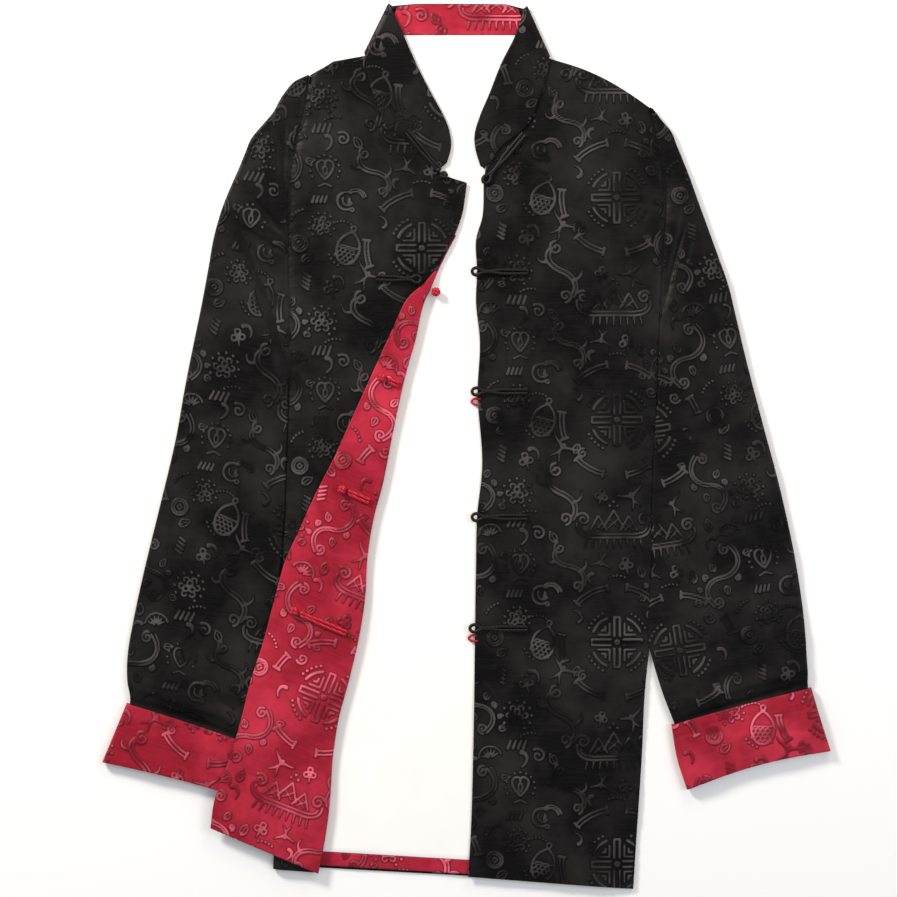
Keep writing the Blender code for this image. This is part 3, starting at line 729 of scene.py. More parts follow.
def coin():
    """Two rings, one inside the other, round a small lozenge."""
    return [arc(0, 0, 9.0, width=LINE), arc(0, 0, 6.2, width=FINE_LINE),
            stroke([(0, 3), (3, 0), (0, -3), (-3, 0), (0, 3)], FINE_LINE)]


def leaf(length=11.0):
    """A pointed leaf: two curved sides and a midrib."""
    side = bend((0, 0), (4.2, 2), (4.4, length - 4), (0, length), FINE_LINE, 1.0)
    return both_sides(side) + [stroke([(0, 1.5), (0, length - 3)], 1.0)]


def vine():
    """A long S of two lines with a curl at each end, and curls and leaves along it."""
    stem = [bend((3, -33), (-16, -26), (-15, -8), (0, 0), LINE),
            bend((0, 0), (15, 8), (16, 26), (-3, 33), LINE),
            bend((4, -29.5), (-12, -23), (-11.5, -9), (2.2, -2.4), FINE_LINE),
            bend((2.2, -2.4), (18.5, 6), (19.5, 27), (0, 36), FINE_LINE)]
    ends = [placed(curl(6.2, 1.4, 70, -1), 5.5, -27), placed(curl(6.2, 1.4, 250, -1), -5.5, 28)]
    buds = [placed(curl(4.0, 1.2, 200), -15, -6, size=0.9),
            placed(curl(4.0, 1.2, 20), 17, 4, size=0.9),
            placed(curl(3.6, 1.1, 120), -17, -21, size=0.8)]
    leaves = [placed(leaf(10), -8, 3, 50), placed(leaf(10), 8, -8, 215),
              placed(leaf(9), 15, 30, -50), placed(leaf(8), -12, -32, 130)]
    return stem + ends + buds + leaves


def dots_row():
    """Beads in a gentle arc."""
    return dots(0, -14, 16, 5, 65, 115, 2.1)


def fan():
    """Half a rosette: short rays under a scalloped arc."""
    rays = [stroke([on_circle(4, turn), on_circle(9, turn)], LINE, 1.0)
            for turn in np.linspace(20, 160, 6)]
    return rays + [arc(0, 0, 2.2, 0, 180, FINE_LINE), arc(0, 0, 11.5, 10, 170, FINE_LINE)]


def comma():
    """A fat drop with a thin tail."""
    return [bend((0, 4), (5, 4), (6, -3), (0, -7), LINE + 1.6, 0.9)]


# Where each motif sits in the repeat: the medallions stand at x = 0, with the small things in a
# column at 87 and vines between the two.
RING_RADIUS = 50.0          # of the broken ring round each medallion
RING_PARTS = ((100, 136), (52, 80), (10, 28), (-80, -54), (-136, -104), (172, 200))
# columns: motif, x, y, turn in degrees, size, and True where it is mirrored
LAYOUT = [
    (roundel, 0, 0, 0, 1.05),
    (cloud, -3, -96, 0, 1.1),
    (vine, 47, 60, -26, 0.85),
    (vine, 50, -56, 20, 0.8, True),
    (scroll, -45, 68, 20, 0.9),
    (scroll, -52, -66, 6, 1.05),
    (heart, 87, 70, 0, 1.05),
    (hook, -68, 42, 0, 0.95),
    (pouch, -66, 0, -16, 1.05),
    (flower, 84, 20, 15, 0.95),
    (flower, 84, -66, 0, 1.1),
    (coin, 64, 4, 0, 0.8),
    (trefoil, 8, 70, 10, 1.25),
    (trefoil, -14, -68, -15, 1.15),
    (trefoil, 92, -36, 15, 1.3),
    (bird, 14, -70, 24, 0.9),
    (bird, -50, -26, -35, 1.0),
    (bird, -14, 73, 170, 0.7),
    (fan, 60, 96, 10, 0.9),
    (bars, 84, -92, 0, 1.1),
    (bars, 70, -30, 80, 0.9),
    (bars, 82, 44, 0, 0.9),
    (curl, 103, 98, 0, 1.0),
    (curl, 31, 25, 200, 0.8),
    (curl, -31, -30, 20, 0.7, True),
    (comma, 88, 96, 0, 1.2),
    (comma, 36, -8, 20, 1.0),
    (comma, -36, 22, 200, 1.0, True),
    (comma, -76, -30, 40, 1.1),
    (comma, 44, 92, -40, 1.0, True),
    (comma, -22, 58, 0, 0.9, True),
    (leaf, -34, -22, 150, 0.9),
    (leaf, 66, -12, -60, 1.0),
    (leaf, -55, 90, 30, 1.0),
    (leaf, 23, 58, 10, 1.0),
    (leaf, 43, -98, 0, 1.0),
    (dots_row, 62, 30, 40, 1.0),
    (dots_row, -70, 22, -10, 0.9),
    (dots_row, 0, 58, 0, 1.0),
    (dots_row, -80, -84, 10, 1.0),
]


def draw_repeat():
    """Distance in millimetres from the nearest line, below zero inside one, over one repeat."""
    discs = [placed(motif(), *place) for motif, *place in LAYOUT]
    for start, end in RING_PARTS:
        discs.append(np.concatenate(double_arc(RING_RADIUS, start, end)))
    discs = np.concatenate(discs)
    wide, tall = round(REPEAT_WIDTH / CHART_STEP), round(REPEAT_HEIGHT / CHART_STEP)
    chart = np.full((tall, wide), REACH)
    span = int((REACH + 2.5) / CHART_STEP)
    offsets = np.arange(-span, span + 1)
    for x, y, radius in discs:
        column, row = int(x / CHART_STEP), int(y / CHART_STEP)
        rows, columns = (row + offsets), (column + offsets)
        away = np.hypot((columns * CHART_STEP - x)[None, :], (rows * CHART_STEP - y)[:, None])
        spot = np.ix_(rows % tall, columns % wide)
        chart[spot] = np.minimum(chart[spot], away - radius)
    return chart


CHART = draw_repeat()


def figure_at(u, v):
    """The figure's distance in millimetres at points of the woven cloth."""
    column, row = u / CHART_STEP, v / CHART_STEP
    left, low = np.floor(column).astype(int), np.floor(row).astype(int)
    across, up = column - left, row - low
    tall, wide = CHART.shape

    def read(rows, columns):
        return CHART[rows % tall, columns % wide]

    return ((1 - up) * ((1 - across) * read(low, left) + across * read(low, left + 1))
            + up * ((1 - across) * read(low + 1, left) + across * read(low + 1, left + 1)))


def turned(points, angle, origin, mirror=1):
    """Woven coordinates of points lying at an angle: the repeat's own x and y, in mm."""
    x, y = points[..., 0] - origin[0], points[..., 1] - origin[1]
    cosine, sine = math.cos(math.radians(angle)), math.sin(math.radians(angle))
    return mirror * (x * cosine + y * sine), y * cosine - x * sine


# ---- From points to pieces of cloth ------------------------------------------------------

def put(name, data):
    """An object of the data, in the scene."""
    piece = bpy.data.objects.new(name, data)
    bpy.context.scene.collection.objects.link(piece)
    return piece


FLOAT_RELIEF = 0.28        # how far the figure's floats stand up from the ground
SEAM_DIP = 1.3             # how far the cloth is drawn down at the armhole seams,
DIP_REACH = 4.0            # how far from the seam that reaches,
SEAM_SHADE = 2.4           # and how far the figure is pressed flat beside it, with the ground painted darker as shade
TROUGH_DEPTH = 1.0         # a trough this deep hides the figure wholly and is painted darkest as shade
SHADED_FLAT_DISTANCE = 1.05         # the figure's distance where no float lies and the ground takes the most painted shade
SEWN = "sewn_"             # a piece is named for the solid that it stands for, after this


def cloth_mesh(name, points, woven, flip=False, close=False, pressed_and_shaded=0.0):
    """A sheet of cloth through a grid of points in millimetres, with its figure on it.

    Woven holds the cloth's own coordinates at the same points. The figure's distance is kept on
    the points as "figure", and the coordinates, in metres, as the UV map "cloth". The last
    argument is the share by which a point is drawn into a seam, a roll or a trough, where the
    figure is pressed flat and the ground is painted darker as shade.
    """
    rows, columns = points.shape[:2]
    bm = bmesh.new()
    bmesh.ops.create_grid(bm, x_segments=columns - 1, y_segments=rows - 1, size=1)
    mesh = bpy.data.meshes.new(name)
    bm.to_mesh(mesh)
    bm.free()
    u, v = woven
    # painted shade: where the cloth is drawn into a seam, a roll or a trough, the figure is
    # pressed flat and the ground there is painted darker
    distance = between(figure_at(u, v), SHADED_FLAT_DISTANCE, pressed_and_shaded)
    mesh.vertices.foreach_set("co", (points * MM).astype(np.float32).ravel())
    figure = mesh.attributes.new("figure", "FLOAT", "POINT")
    figure.data.foreach_set("value", distance.astype(np.float32).ravel())
    corners = np.zeros(len(mesh.loops), np.int32)
    mesh.loops.foreach_get("vertex_index", corners)
    cloth = mesh.uv_layers.new(name="cloth")
    flat = np.stack([u.ravel(), v.ravel()], axis=1)[corners] * MM
    cloth.data.foreach_set("uv", flat.astype(np.float32).ravel())
    bm = bmesh.new()
    bm.from_mesh(mesh)
    if close:
        bmesh.ops.remove_doubles(bm, verts=bm.verts, dist=0.005 * MM)
    if flip:
        bmesh.ops.reverse_faces(bm, faces=bm.faces)
    bm.to_mesh(mesh)
    bm.free()
    mesh.shade_smooth()
    return put(SEWN + name, mesh)


def raised(woven):
    """How far the floats of the figure lift the face of the cloth."""
    return FLOAT_RELIEF * ease(0.5 - figure_at(*woven) / 0.9)


def spread(here, start, end, share):
    """Points across a cloth, from its start columns to its end columns."""
    return (between(here[start + "_x"], here[end + "_x"], share),
            between(here[start + "_y"], here[end + "_y"], share))


def width_of(here, start, end):
    return np.hypot(here[end + "_x"] - here[start + "_x"], here[end + "_y"] - here[start + "_y"])


def rolled(row_drop, across):
    """How far each point is rolled under, at the end rows or at the sides."""
    return np.maximum(row_drop, across[:, 2][None, :])


def across_shares(widths, across):
    """The share of the width at each row (down) and station (across)."""
    return across[:, 0][None, :] + across[:, 1][None, :] / widths


def in_trough(creases):
    """0 on a level or a ridge, 1 at the bottom of a deep trough."""
    return ease(-creases / TROUGH_DEPTH)


def near(away, reach):
    """1 at a line, falling softly to nothing over about twice the reach."""
    return np.exp(-(away / reach) ** 2)


def seam_pucker(away, along):
    """The small gathers that sewing draws up beside a seam."""
    gathered = np.exp(-np.clip(away, 0, 40) / 4.5)
    return gathered * (0.22 * np.sin(along / 1.9 + 1.7 * np.sin(along / 23))
                       + 0.12 * np.sin(along / 0.83 + 2.0))


def lay_front(name, table, sharp, armpit, edge_z, outward, step, origin):
    """A front panel: from its free edge to its side seam and armhole."""
    here, row_drop = fine_rows(FRONT_COLUMNS, table, SHOWN_STEP,
                               (("edge_x", "edge_y"), ("side_x", "side_y")), sharp=sharp)
    side_x = here["side_x"] - outward * SEAM
    widths = np.hypot(side_x - here["edge_x"], here["side_y"] - here["edge_y"])
    across = stations(round(widths.max() / step))
    share = across_shares(widths, across)
    x = between(here["edge_x"], side_x, share)
    y = between(here["edge_y"], here["side_y"], share) + here["bow"] * swell(share)
    sewn = ease((here["side_y"] - armpit) / ARMPIT_BLEND + 0.5)
    side_z = between(FRONT_SEAM_Z, ARMHOLE_Z, sewn)
    climb = np.clip((1 - share) * 5, 0, 1)
    z = between(side_z, edge_z, climb * (2 - climb)) + here["lift"] * swell(share) + WALL
    drop = rolled(row_drop, across)
    points = np.stack([x, y, z], axis=-1)
    woven = turned(points, 0, origin)
    creases = press_creases(name, points)
    points[..., 2] += (creases + raised(woven)) * (1 - drop)
    from_seam = np.maximum(widths * (1 - share), 0)
    points[..., 2] += seam_pucker(from_seam, here["along"]) * (1 - drop)
    points[..., 2] -= SEAM_DIP * near(from_seam, DIP_REACH) * sewn * (1 - drop) + drop * WALL
    # painted shade beside the seam and in the troughs of the creases, where the figure is also
    # pressed flat
    pressed_and_shaded = np.maximum(near(from_seam, SEAM_SHADE) * between(0.5, 1.0, sewn), in_trough(creases))
    if outward < 0:
        points, pressed_and_shaded = points[:, ::-1], pressed_and_shaded[:, ::-1]
        woven = [part[:, ::-1] for part in woven]
    return cloth_mesh(name, points, woven, pressed_and_shaded=pressed_and_shaded)


BACK_TURNING = 34.0        # how far the back rolls in beneath the left front
SHOULDER_RISE = 60.0       # from the back's last row to its shoulder line, near enough


def lay_back(origin):
    """The back: the underside of the jacket, rolled up round its edges."""
    here, row_drop = fine_rows(BACK_COLUMNS, BACK, UNDER_STEP,
                               (("left_x", "left_y"), ("right_x", "right_y")), last=None)
    left_x, right_x = here["left_x"] + SEAM, here["right_x"] - SEAM
    widths = right_x - left_x
    across = stations(round(widths.max() / UNDER_STEP), BACK_TURNING, TURN_IN)
    share = across_shares(widths, across)
    x, y = between(left_x, right_x, share), between(here["left_y"], here["right_y"], share)
    shoulders = np.array(SHOULDER_LINE)
    top_share = share[-1]
    shoulder_at = (shoulders[:, 0] - shoulders[0, 0]) / np.ptp(shoulders[:, 0])
    top_x = np.interp(top_share, shoulder_at, shoulders[:, 0])
    top_y = np.interp(top_share, shoulder_at, shoulders[:, 1])
    climb = stations(round(SHOULDER_RISE / UNDER_STEP), None, TURN_IN)[1:]
    heights = climb[:, 0] + climb[:, 1] / SHOULDER_RISE
    x = np.concatenate([x, between(x[-1][None], top_x[None], heights[:, None])])
    y = np.concatenate([y, between(y[-1][None], top_y[None], heights[:, None])])
    drop = np.maximum(np.concatenate([row_drop, climb[:, 2:]]), across[:, 2][None, :])
    points = np.stack([x, y, drop * WALL], axis=-1)
    return cloth_mesh("back", points, turned(points, 0, origin), flip=True)


def lay_lining():
    """The plain lining of the back, which shows between the fronts."""
    pairs = (("left_x", "left_y"), ("right_x", "right_y"))
    here, row_drop = fine_rows(BACK_COLUMNS, LINING, PLAIN_STEP, pairs)
    widths = here["right_x"] - here["left_x"]
    across = stations(round(widths.max() / PLAIN_STEP))
    share = across_shares(widths, across)
    x, y = spread(here, "left", "right", share)
    drop = rolled(row_drop, across)
    points = np.stack([x, y, LINING_TOP - drop * LINING_WALL], axis=-1)
    points[..., 2] += 0.25 * press_creases("back_lining", points) * (1 - drop)
    return cloth_mesh("back_lining", points, turned(points, 0, (0, 0)))


def lay_strip(name, left, right, depth, wall, top, origin):
    """A straight strip of cloth whose lower edge runs from left to right."""
    length = math.hypot(right[0] - left[0], right[1] - left[1])
    along = stations(round(length / SHOWN_STEP), 3.0, 3.0)
    up = stations(round(depth / SHOWN_STEP), 3.0, 3.0)
    share = along[:, 0] + along[:, 1] / length
    rise = (up[:, 0] * depth + up[:, 1])[:, None]
    x = between(left[0], right[0], share)[None, :] + 0 * rise
    y = between(left[1], right[1], share)[None, :] + rise
    drop = np.maximum(up[:, 2][:, None], along[:, 2][None, :])
    points = np.stack([x, y, top - drop * wall], axis=-1)
    woven = turned(points, 0, origin)
    points[..., 2] += (0.4 * press_creases(name, points) + raised(woven)) * (1 - drop)
    return cloth_mesh(name, points, woven)


# The red side goes round the fold, as (out from it, share of the way up), and back beneath.
FOLD_WRAP = [(0.3, 0.985), (0.7, 0.93), (1.0, 0.82), (1.2, 0.66), (1.25, 0.5), (1.15, 0.33),
             (0.9, 0.18), (0.5, 0.06), (-0.5, 0.0), (-8.0, 0.0)]
FOLD_UNDER = LINING_TOP + GAP

# Above the turn the red side only peeps out beside the placket, lower and lower.
PEEPING = [(-31.5, 146, 5.5, 5.0, 5.0), (-25, 161, 1.5, 2.4, 2.4), (-15, 181, 0.6, 1.0, 1.0),
           (-10, 190, 0.6, 0.6, 0.6)]
PEEP_OUT = 0.7             # how much less it stands out there


def turned_points(here, share):
    """Points of the turned-back part at a share of its width from the fold."""
    x = here["fold_x"] + TURN_DIRECTION.x * here["width"] * share
    y = here["fold_y"] + TURN_DIRECTION.y * here["width"] * share
    z = between(here["fold_z"], here["edge_z"], np.clip(share * 1.6, 0, 1))
    return np.stack([x, y, z + 0.4 * swell(share)], axis=-1)


def lay_facing(origin):
    """The red side of the turned-back front, round the fold and on beneath it."""
    here, row_drop = fine_rows(TURN_COLUMNS, TURNED_FRONT + PEEPING, SHOWN_STEP,
                               (("fold_x", "fold_y"),))
    widths = np.maximum(here["width"], 0.5)
    across = stations(round(widths.max() / SHOWN_STEP), TURN_IN, None)
    inset = np.minimum(across[:, 1][None, :], 0.3 * widths)
    share = 1 - across[:, 0][None, :] - inset / widths
    points = turned_points(here, share)
    points[..., 2] += FACING_RISE
    drop = rolled(row_drop, across)
    woven = turned(points, TURN_ANGLE, origin, mirror=-1)
    narrow = ease(widths / 12)
    rise = (press_creases("front_left_facing", points) + raised(woven)) * narrow
    points[..., 2] += rise * (1 - drop) * ease(share * widths / 8 + 0.15)
    points[..., 2] -= drop * LINING_WALL
    out = np.array([step[0] for step in FOLD_WRAP])[None, :]
    out = np.where(out > 0, out * between(PEEP_OUT, 1.0, narrow), out)
    up = np.array([step[1] for step in FOLD_WRAP])[None, :]
    fold = np.stack([here["fold_x"] + out, here["fold_y"] - 0.4 * out,
                     between(FOLD_UNDER, points[:, -1:, 2], up)], axis=-1)
    points = np.concatenate([points, fold], axis=1)
    return cloth_mesh("front_left_facing", points, turned(points, TURN_ANGLE, origin, mirror=-1))


def lay_turned_under(origin):
    """The black side of the turned-back part, face down."""
    here, row_drop = fine_rows(TURN_COLUMNS, TURNED_FRONT, UNDER_STEP,
                               (("fold_x", "fold_y"),))
    across = stations(round(here["width"].max() / UNDER_STEP), TURN_IN, 3.0)
    share = 0.985 - 0.97 * np.clip(across_shares(here["width"], across), 0, 1)
    points = turned_points(here, share)
    drop = rolled(row_drop, across)
    points[..., 2] += drop * WALL
    return cloth_mesh("front_left_turned", points, turned(points, TURN_ANGLE, origin), flip=True)


CUFF_OF = {"sleeve_right": CUFF_RIGHT, "sleeve_left": CUFF_LEFT}
CUFF_SHADE_BAND = 3.0            # half the depth of the band above each cuff, in the sleeve's roll, where the figure is pressed flat and painted shade darkens the ground


def round_section(step, width):
    """Once round a flattened tube, as rows of (share, out, up, open_up).

    The share is of its flat width; out and up are in radii of its rounded edges. Open_up is
    where the point lies if the inner edge isn't joined: -1 on the lower ply, 1 on the upper.
    """
    turn = np.radians(np.linspace(0, 90, 5)[1:])
    lower = [(0.0, -math.sin(angle), -math.cos(angle), -1.0) for angle in turn[::-1]]
    count = round(width / UNDER_STEP / 1.4)
    lower += [(share, 0.0, -1.0, -1.0) for share in np.linspace(0, 1, count)]
    lower += [(1.0, math.sin(angle), -math.cos(angle), -1.0) for angle in turn]
    upper = [(1.0, math.sin(angle), math.cos(angle), 1.0) for angle in turn[-2::-1]]
    upper += [(share, 0.0, 1.0, 1.0) for share in np.linspace(1, 0, round(width / step))]
    upper += [(0.0, -math.sin(angle), math.cos(angle), 1.0) for angle in turn]
    return np.array(lower + upper)


def lay_tube(name, columns, table, height, wall, armpit, outward, step, origin, angle,
             first, last):
    """A sleeve or cuff pressed flat: once round, with its top face finer than its underside."""
    here, row_drop = fine_rows(columns, table, step, (("inner_x", "inner_y"),
                                                      ("outer_x", "outer_y")), first, last)
    gap = SEAM if armpit is not None else 0.0
    start_x, start_y = here["inner_x"] + outward * gap, here["inner_y"]
    end_x, end_y = here["outer_x"], here["outer_y"]
    widths = np.hypot(end_x - start_x, end_y - start_y)
    base = here.get("base", 0.0)
    section = round_section(step, float(widths.max()))
    share, out, up, open_up = (part[None, :] for part in section.T)
    if armpit is None:
        heights = np.full_like(widths, height)
        is_open = np.zeros_like(widths)
    else:
        heights = between(height, SLEEVE_END_HEIGHT, ease(base / 1.9))
        is_open = ease((here["inner_y"] - armpit) / SLEEVE_OPENS + 0.5)
    heights = heights - 2 * wall * row_drop
    radius = np.minimum(heights / 2, widths * 0.45)
    side = np.maximum(radius, wall * row_drop)
    place = side + share * (widths - 2 * side) + radius * out
    inner_up = np.where(open_up > 0, (ARMHOLE_Z + WALL) / (heights / 2) - 1, -1.0)
    at_inner = (share == 0) & (out < 0)
    rise = np.where(at_inner, between(up, inner_up, is_open), up)
    span = place / widths
    x, y = between(start_x, end_x, span), between(start_y, end_y, span)
    y = y + here.get("bow", 0.0) * swell(span)
    top = np.clip(rise, 0, 1)
    z = base + wall * row_drop + (heights / 2) * (1 + rise)
    z = z + SLEEVE_SWELL * here.get("swell", 0.3) * swell(span) * top
    points = np.stack([x, y, z], axis=-1)
    woven = turned(points, angle, origin)
    creases = press_creases(name, points)
    lift = creases + raised(woven)
    from_seam = np.maximum(place, 0)
    sewn = seam_pucker(from_seam, here["along"]) - SEAM_DIP * near(from_seam, DIP_REACH)
    points[..., 2] += (lift + sewn * is_open) * top * (1 - row_drop) * ease(radius / 1.2)
    points[..., 2] = np.maximum(points[..., 2], 0)
    # painted shade beside the armhole seam and in the troughs of the creases, where the figure is
    # also pressed flat
    pressed_and_shaded = np.maximum(near(from_seam, SEAM_SHADE) * is_open, in_trough(creases) * top)
    # painted shade in a band in the sleeve's roll just above its cuff
    if name in CUFF_OF:
        cuff = dict(zip(CUFF_COLUMNS, CUFF_OF[name][0]))
        share = (points[..., 0] - cuff["inner_x"]) / (cuff["outer_x"] - cuff["inner_x"])
        above = points[..., 1] - between(cuff["inner_y"], cuff["outer_y"], share)
        pressed_and_shaded = np.maximum(pressed_and_shaded, near(above - CUFF_SHADE_BAND, CUFF_SHADE_BAND))
    return cloth_mesh(name, points, woven, flip=outward < 0, close=True, pressed_and_shaded=pressed_and_shaded)


COLLAR_CORNERS = (7, 9, 10, 12, 13, 15)      # the rows where the band turns sharply
COLLAR_LAP = 4.2           # how far its seam edge laps over the neckline
NECK_MIDDLE = -10.0        # x of the middle of the neck


def lay_collar(origin):
    """The band: its outer face shows at the front and turns under at each side of the neck."""
    pairs = (("seam_x", "seam_y"), ("rim_x", "rim_y"))
    here, row_drop = fine_rows(COLLAR_COLUMNS, COLLAR, SHOWN_STEP, pairs, 4.0, 4.0,
                               sharp=COLLAR_CORNERS)
    widths = width_of(here, "seam", "rim")
    across = stations(round(widths.max() / SHOWN_STEP), 4.0, 4.0)
    inset = np.clip(across[:, 1][None, :], -0.45 * widths, 0.45 * widths)
    bed = np.clip(here["bed"], 0, None)
    facing = np.clip(bed / 4.0, 0, 1)
    up = 2 * facing - 1
    # at the front the seam edge laps over the neckline that it is sewn to
    ends = ease(here["along"] / 14) * ease((here["along"].max() - here["along"]) / 14)
    lap = COLLAR_LAP * np.clip(up, 0, 1) ** 4 * ends
    share = across[:, 0][None, :] + inset / widths
    share = share - (1 - share) * lap / widths
    drop = rolled(row_drop, across)
    x, y = spread(here, "seam", "rim", share)
    inward = np.sign(NECK_MIDDLE - x) * (1 - np.abs(up)) * drop * WALL
    z = bed + WALL * facing - up * drop * WALL + 0.25 * lap * np.clip(1 - share, 0, 1) ** 2
    points = np.stack([x + inward, y, z], axis=-1)
    woven = turned(points, 0, origin)
    lift = (0.6 * press_creases("collar", points) + raised(woven)) * np.clip(up, 0, 1)
    points[..., 2] += lift * (1 - drop)
    return cloth_mesh("collar", points, woven, flip=True)


def lay_collar_lining(origin):
    """The red lining of the band, across the back of the neck."""
    backs = [row for row in named(COLLAR_COLUMNS, COLLAR) if row["bed"] == 0.0]
    for row, inward in ((backs[0], 1), (backs[-1], -1)):
        row["seam_x"] += inward * COLLAR_LINING_SIDE
        row["rim_x"] += inward * COLLAR_LINING_SIDE
    for row in backs:
        row["seam_y"] -= COLLAR_LINING_LAP
        row["rim_y"] -= COLLAR_LINING_SHORT
    table = [tuple(row.values()) for row in backs]
    pairs = (("seam_x", "seam_y"), ("rim_x", "rim_y"))
    here, row_drop = fine_rows(COLLAR_COLUMNS, table, SHOWN_STEP, pairs, 3.0, 3.0,
                               sharp=(1, 3))
    widths = width_of(here, "seam", "rim")
    across = stations(round(widths.max() / SHOWN_STEP), 3.0, 3.0)
    share = across_shares(widths, across)
    x, y = spread(here, "seam", "rim", share)
    drop = rolled(row_drop, across)
    over_seam = 0.9 * np.exp(-share * widths / 3)
    points = np.stack([x, y, LINING_TOP + over_seam - drop * LINING_WALL], axis=-1)
    woven = turned(points, 0, origin)
    points[..., 2] += (0.5 * press_creases("collar_lining", points) + raised(woven)) * (1 - drop)
    return cloth_mesh("collar_lining", points, woven, flip=True)


# ---- Cords -------------------------------------------------------------------------------

def tree_of(pieces):
    """Ray-cast trees of pieces that something lies on."""
    graph = bpy.context.evaluated_depsgraph_get()
    return [BVHTree.FromObject(piece, graph) for piece in pieces]


def top_at(trees, x, y):
    """Height in millimetres of the highest piece at a point, or None beside them all."""
    above = 0.1
    hits = [tree.ray_cast(Vector((x * MM, y * MM, above)), Vector((0, 0, -1)))[0]
            for tree in trees]
    heights = [hit.z / MM for hit in hits if hit]
    return max(heights) if heights else None


def cord_piece(name, route, radius, closed=False):
    """A round cord along a route in millimetres, with its ends capped."""
    curve = bpy.data.curves.new(name, "CURVE")
    curve.dimensions = "3D"
    spline = curve.splines.new("POLY")
    spline.points.add(len(route) - 1)
    spline.points.foreach_set("co", np.column_stack([route * MM, np.ones(len(route))]).ravel())
    spline.use_cyclic_u = closed
    spline.use_smooth = True
    curve.bevel_depth = radius * MM
    curve.bevel_resolution = 3
    curve.use_fill_caps = not closed
    return put(SEWN + name, curve)


def smooth_route(corners, step):
    """A smooth line through corner points, at an even step."""
    corners = np.array(corners, float)
    at = np.concatenate([[0.0], np.cumsum(np.linalg.norm(np.diff(corners, axis=0), axis=1))])
    return hermite(at, corners, np.linspace(0, at[-1], max(4, round(at[-1] / step))))


def settle(route, trees, radius):
    """Lets a flat route down on what lies beneath it, and evens out its heights."""
    heights = [top_at(trees, x, y) for x, y in route]
    known = [height for height in heights if height is not None]
    last, filled = known[0], []
    for height in heights:
        last = last if height is None else height
        filled.append(last)
    filled = np.maximum(np.array(filled), max(filled) - 0.8)
    padded = np.pad(filled, 3, mode="edge")
    evened = np.convolve(padded, np.ones(7) / 7, mode="valid")
    return np.column_stack([route, np.maximum(evened, filled - 0.2) + radius])


def lay_frog(row, trees):
    """Half a fastening: a cord doubled into a strap, ending in a loop or at a knot."""
    start, end = np.array(row["start"], float), np.array(row["end"], float)
    length = float(np.hypot(*(end - start)))
    along = (end - start) / length
    across = np.array([-along[1], along[0]])
    tip = LOOP_LENGTH if row["ends_in"] == "loop" else 2.0
    bulge = LOOP_HALF if row["ends_in"] == "loop" else STRAP_HALF
    half = [(0.4, STRAP_HALF * 0.9), (length / 2, STRAP_HALF), (length - 1, STRAP_HALF * 0.85),
            (length + tip * 0.35, bulge * 0.95), (length + tip * 0.8, bulge * 0.75)]
    outline = half + [(length + tip, 0)] + [(far, -side) for far, side in reversed(half)]
    corners = [start + along * far + across * side for far, side in outline]
    route = settle(smooth_route(corners, 0.9), trees, CORD_RADIUS * 0.95)
    strap = cord_piece(row["name"], route, CORD_RADIUS)
    if row["ends_in"] == "loop":
        return [strap]
    centre = end + along * (tip + CORD_RADIUS + GAP + KNOT_RADIUS)
    rest = top_at(trees, *centre)
    floor = rest if rest is not None else route[:, 2].max() - CORD_RADIUS - GAP
    return [strap, tie_knot(row["name"] + "_ball", centre, floor + KNOT_RADIUS * 0.72)]


def tie_knot(name, centre, height):
    """A button knot: one cord woven three times round a ball, over and under itself."""
    thick, over_under = 1.25, 0.55
    turns, bights = 3, 4
    steepest, squash = 1.08, 0.78
    t = np.linspace(0, 2 * np.pi * turns, 150, endpoint=False)
    lean = steepest * np.cos(bights * t / turns)
    radius = KNOT_RADIUS - thick - over_under + over_under * np.sin(2 * bights * t / turns)
    route = np.column_stack([
        centre[0] + radius * np.cos(lean) * np.cos(t),
        centre[1] + radius * np.cos(lean) * np.sin(t),
        height + squash * radius * np.sin(lean),
    ])
    return cord_piece(name, route, thick, closed=True)


def lay_frogs(pieces):
    """Every fastening, on the pieces that it lies on."""
    made = []
    for row in named(FROG_COLUMNS, FROGS):
        made.append((row["cloth"], lay_frog(row, tree_of([pieces[on] for on in row["lies_on"]]))))
    height = LINING_TOP + GAP + RED_CORD_RADIUS
    for name, (x, y) in RED_LOOPS:
        corners = [(x + 3, y + 2.4), (x, y + 2.7), (x - 3, y + 2.3), (x - 5, y), (x - 3, y - 2.3),
                   (x, y - 2.7), (x + 3, y - 2.4)]
        flat = smooth_route(corners, 0.7)
        route = np.column_stack([flat, np.full(len(flat), height)])
        made.append(("red", [cord_piece(name, route, RED_CORD_RADIUS)]))
    name, centre, height = RED_KNOT
    made.append(("red", [tie_knot(name, centre, height)]))
    return made


# ---- Materials ---------------------------------------------------------------------------

def linear(code):
    """An sRGB hex colour as linear light, with its alpha."""
    parts = [int(code[place:place + 2], 16) / 255 for place in (1, 3, 5)]
    return (*(part / 12.92 if part <= 0.04045 else ((part + 0.055) / 1.055) ** 2.4
              for part in parts), 1.0)


def add(tree, kind, inputs, **settings):
    """A node with its settings, and each of its inputs set to a value or linked to an output."""
    node = tree.nodes.new(kind)
    for name, value in settings.items():
        setattr(node, name, value)
    for socket, value in inputs.items():
        if isinstance(value, bpy.types.NodeSocket):
            tree.links.new(value, node.inputs[socket])
        else:
            node.inputs[socket].default_value = value
    return node


def wave_scale(pitch):
    """The scale at which a wave texture's bands are this many millimetres apart."""
    return 0.314 / (pitch * MM)


def new_material(name):
    """An empty material's tree with its Principled shader."""
    made = bpy.data.materials.new(name)
    made.use_nodes = True
    return made, made.node_tree, made.node_tree.nodes["Principled BSDF"]


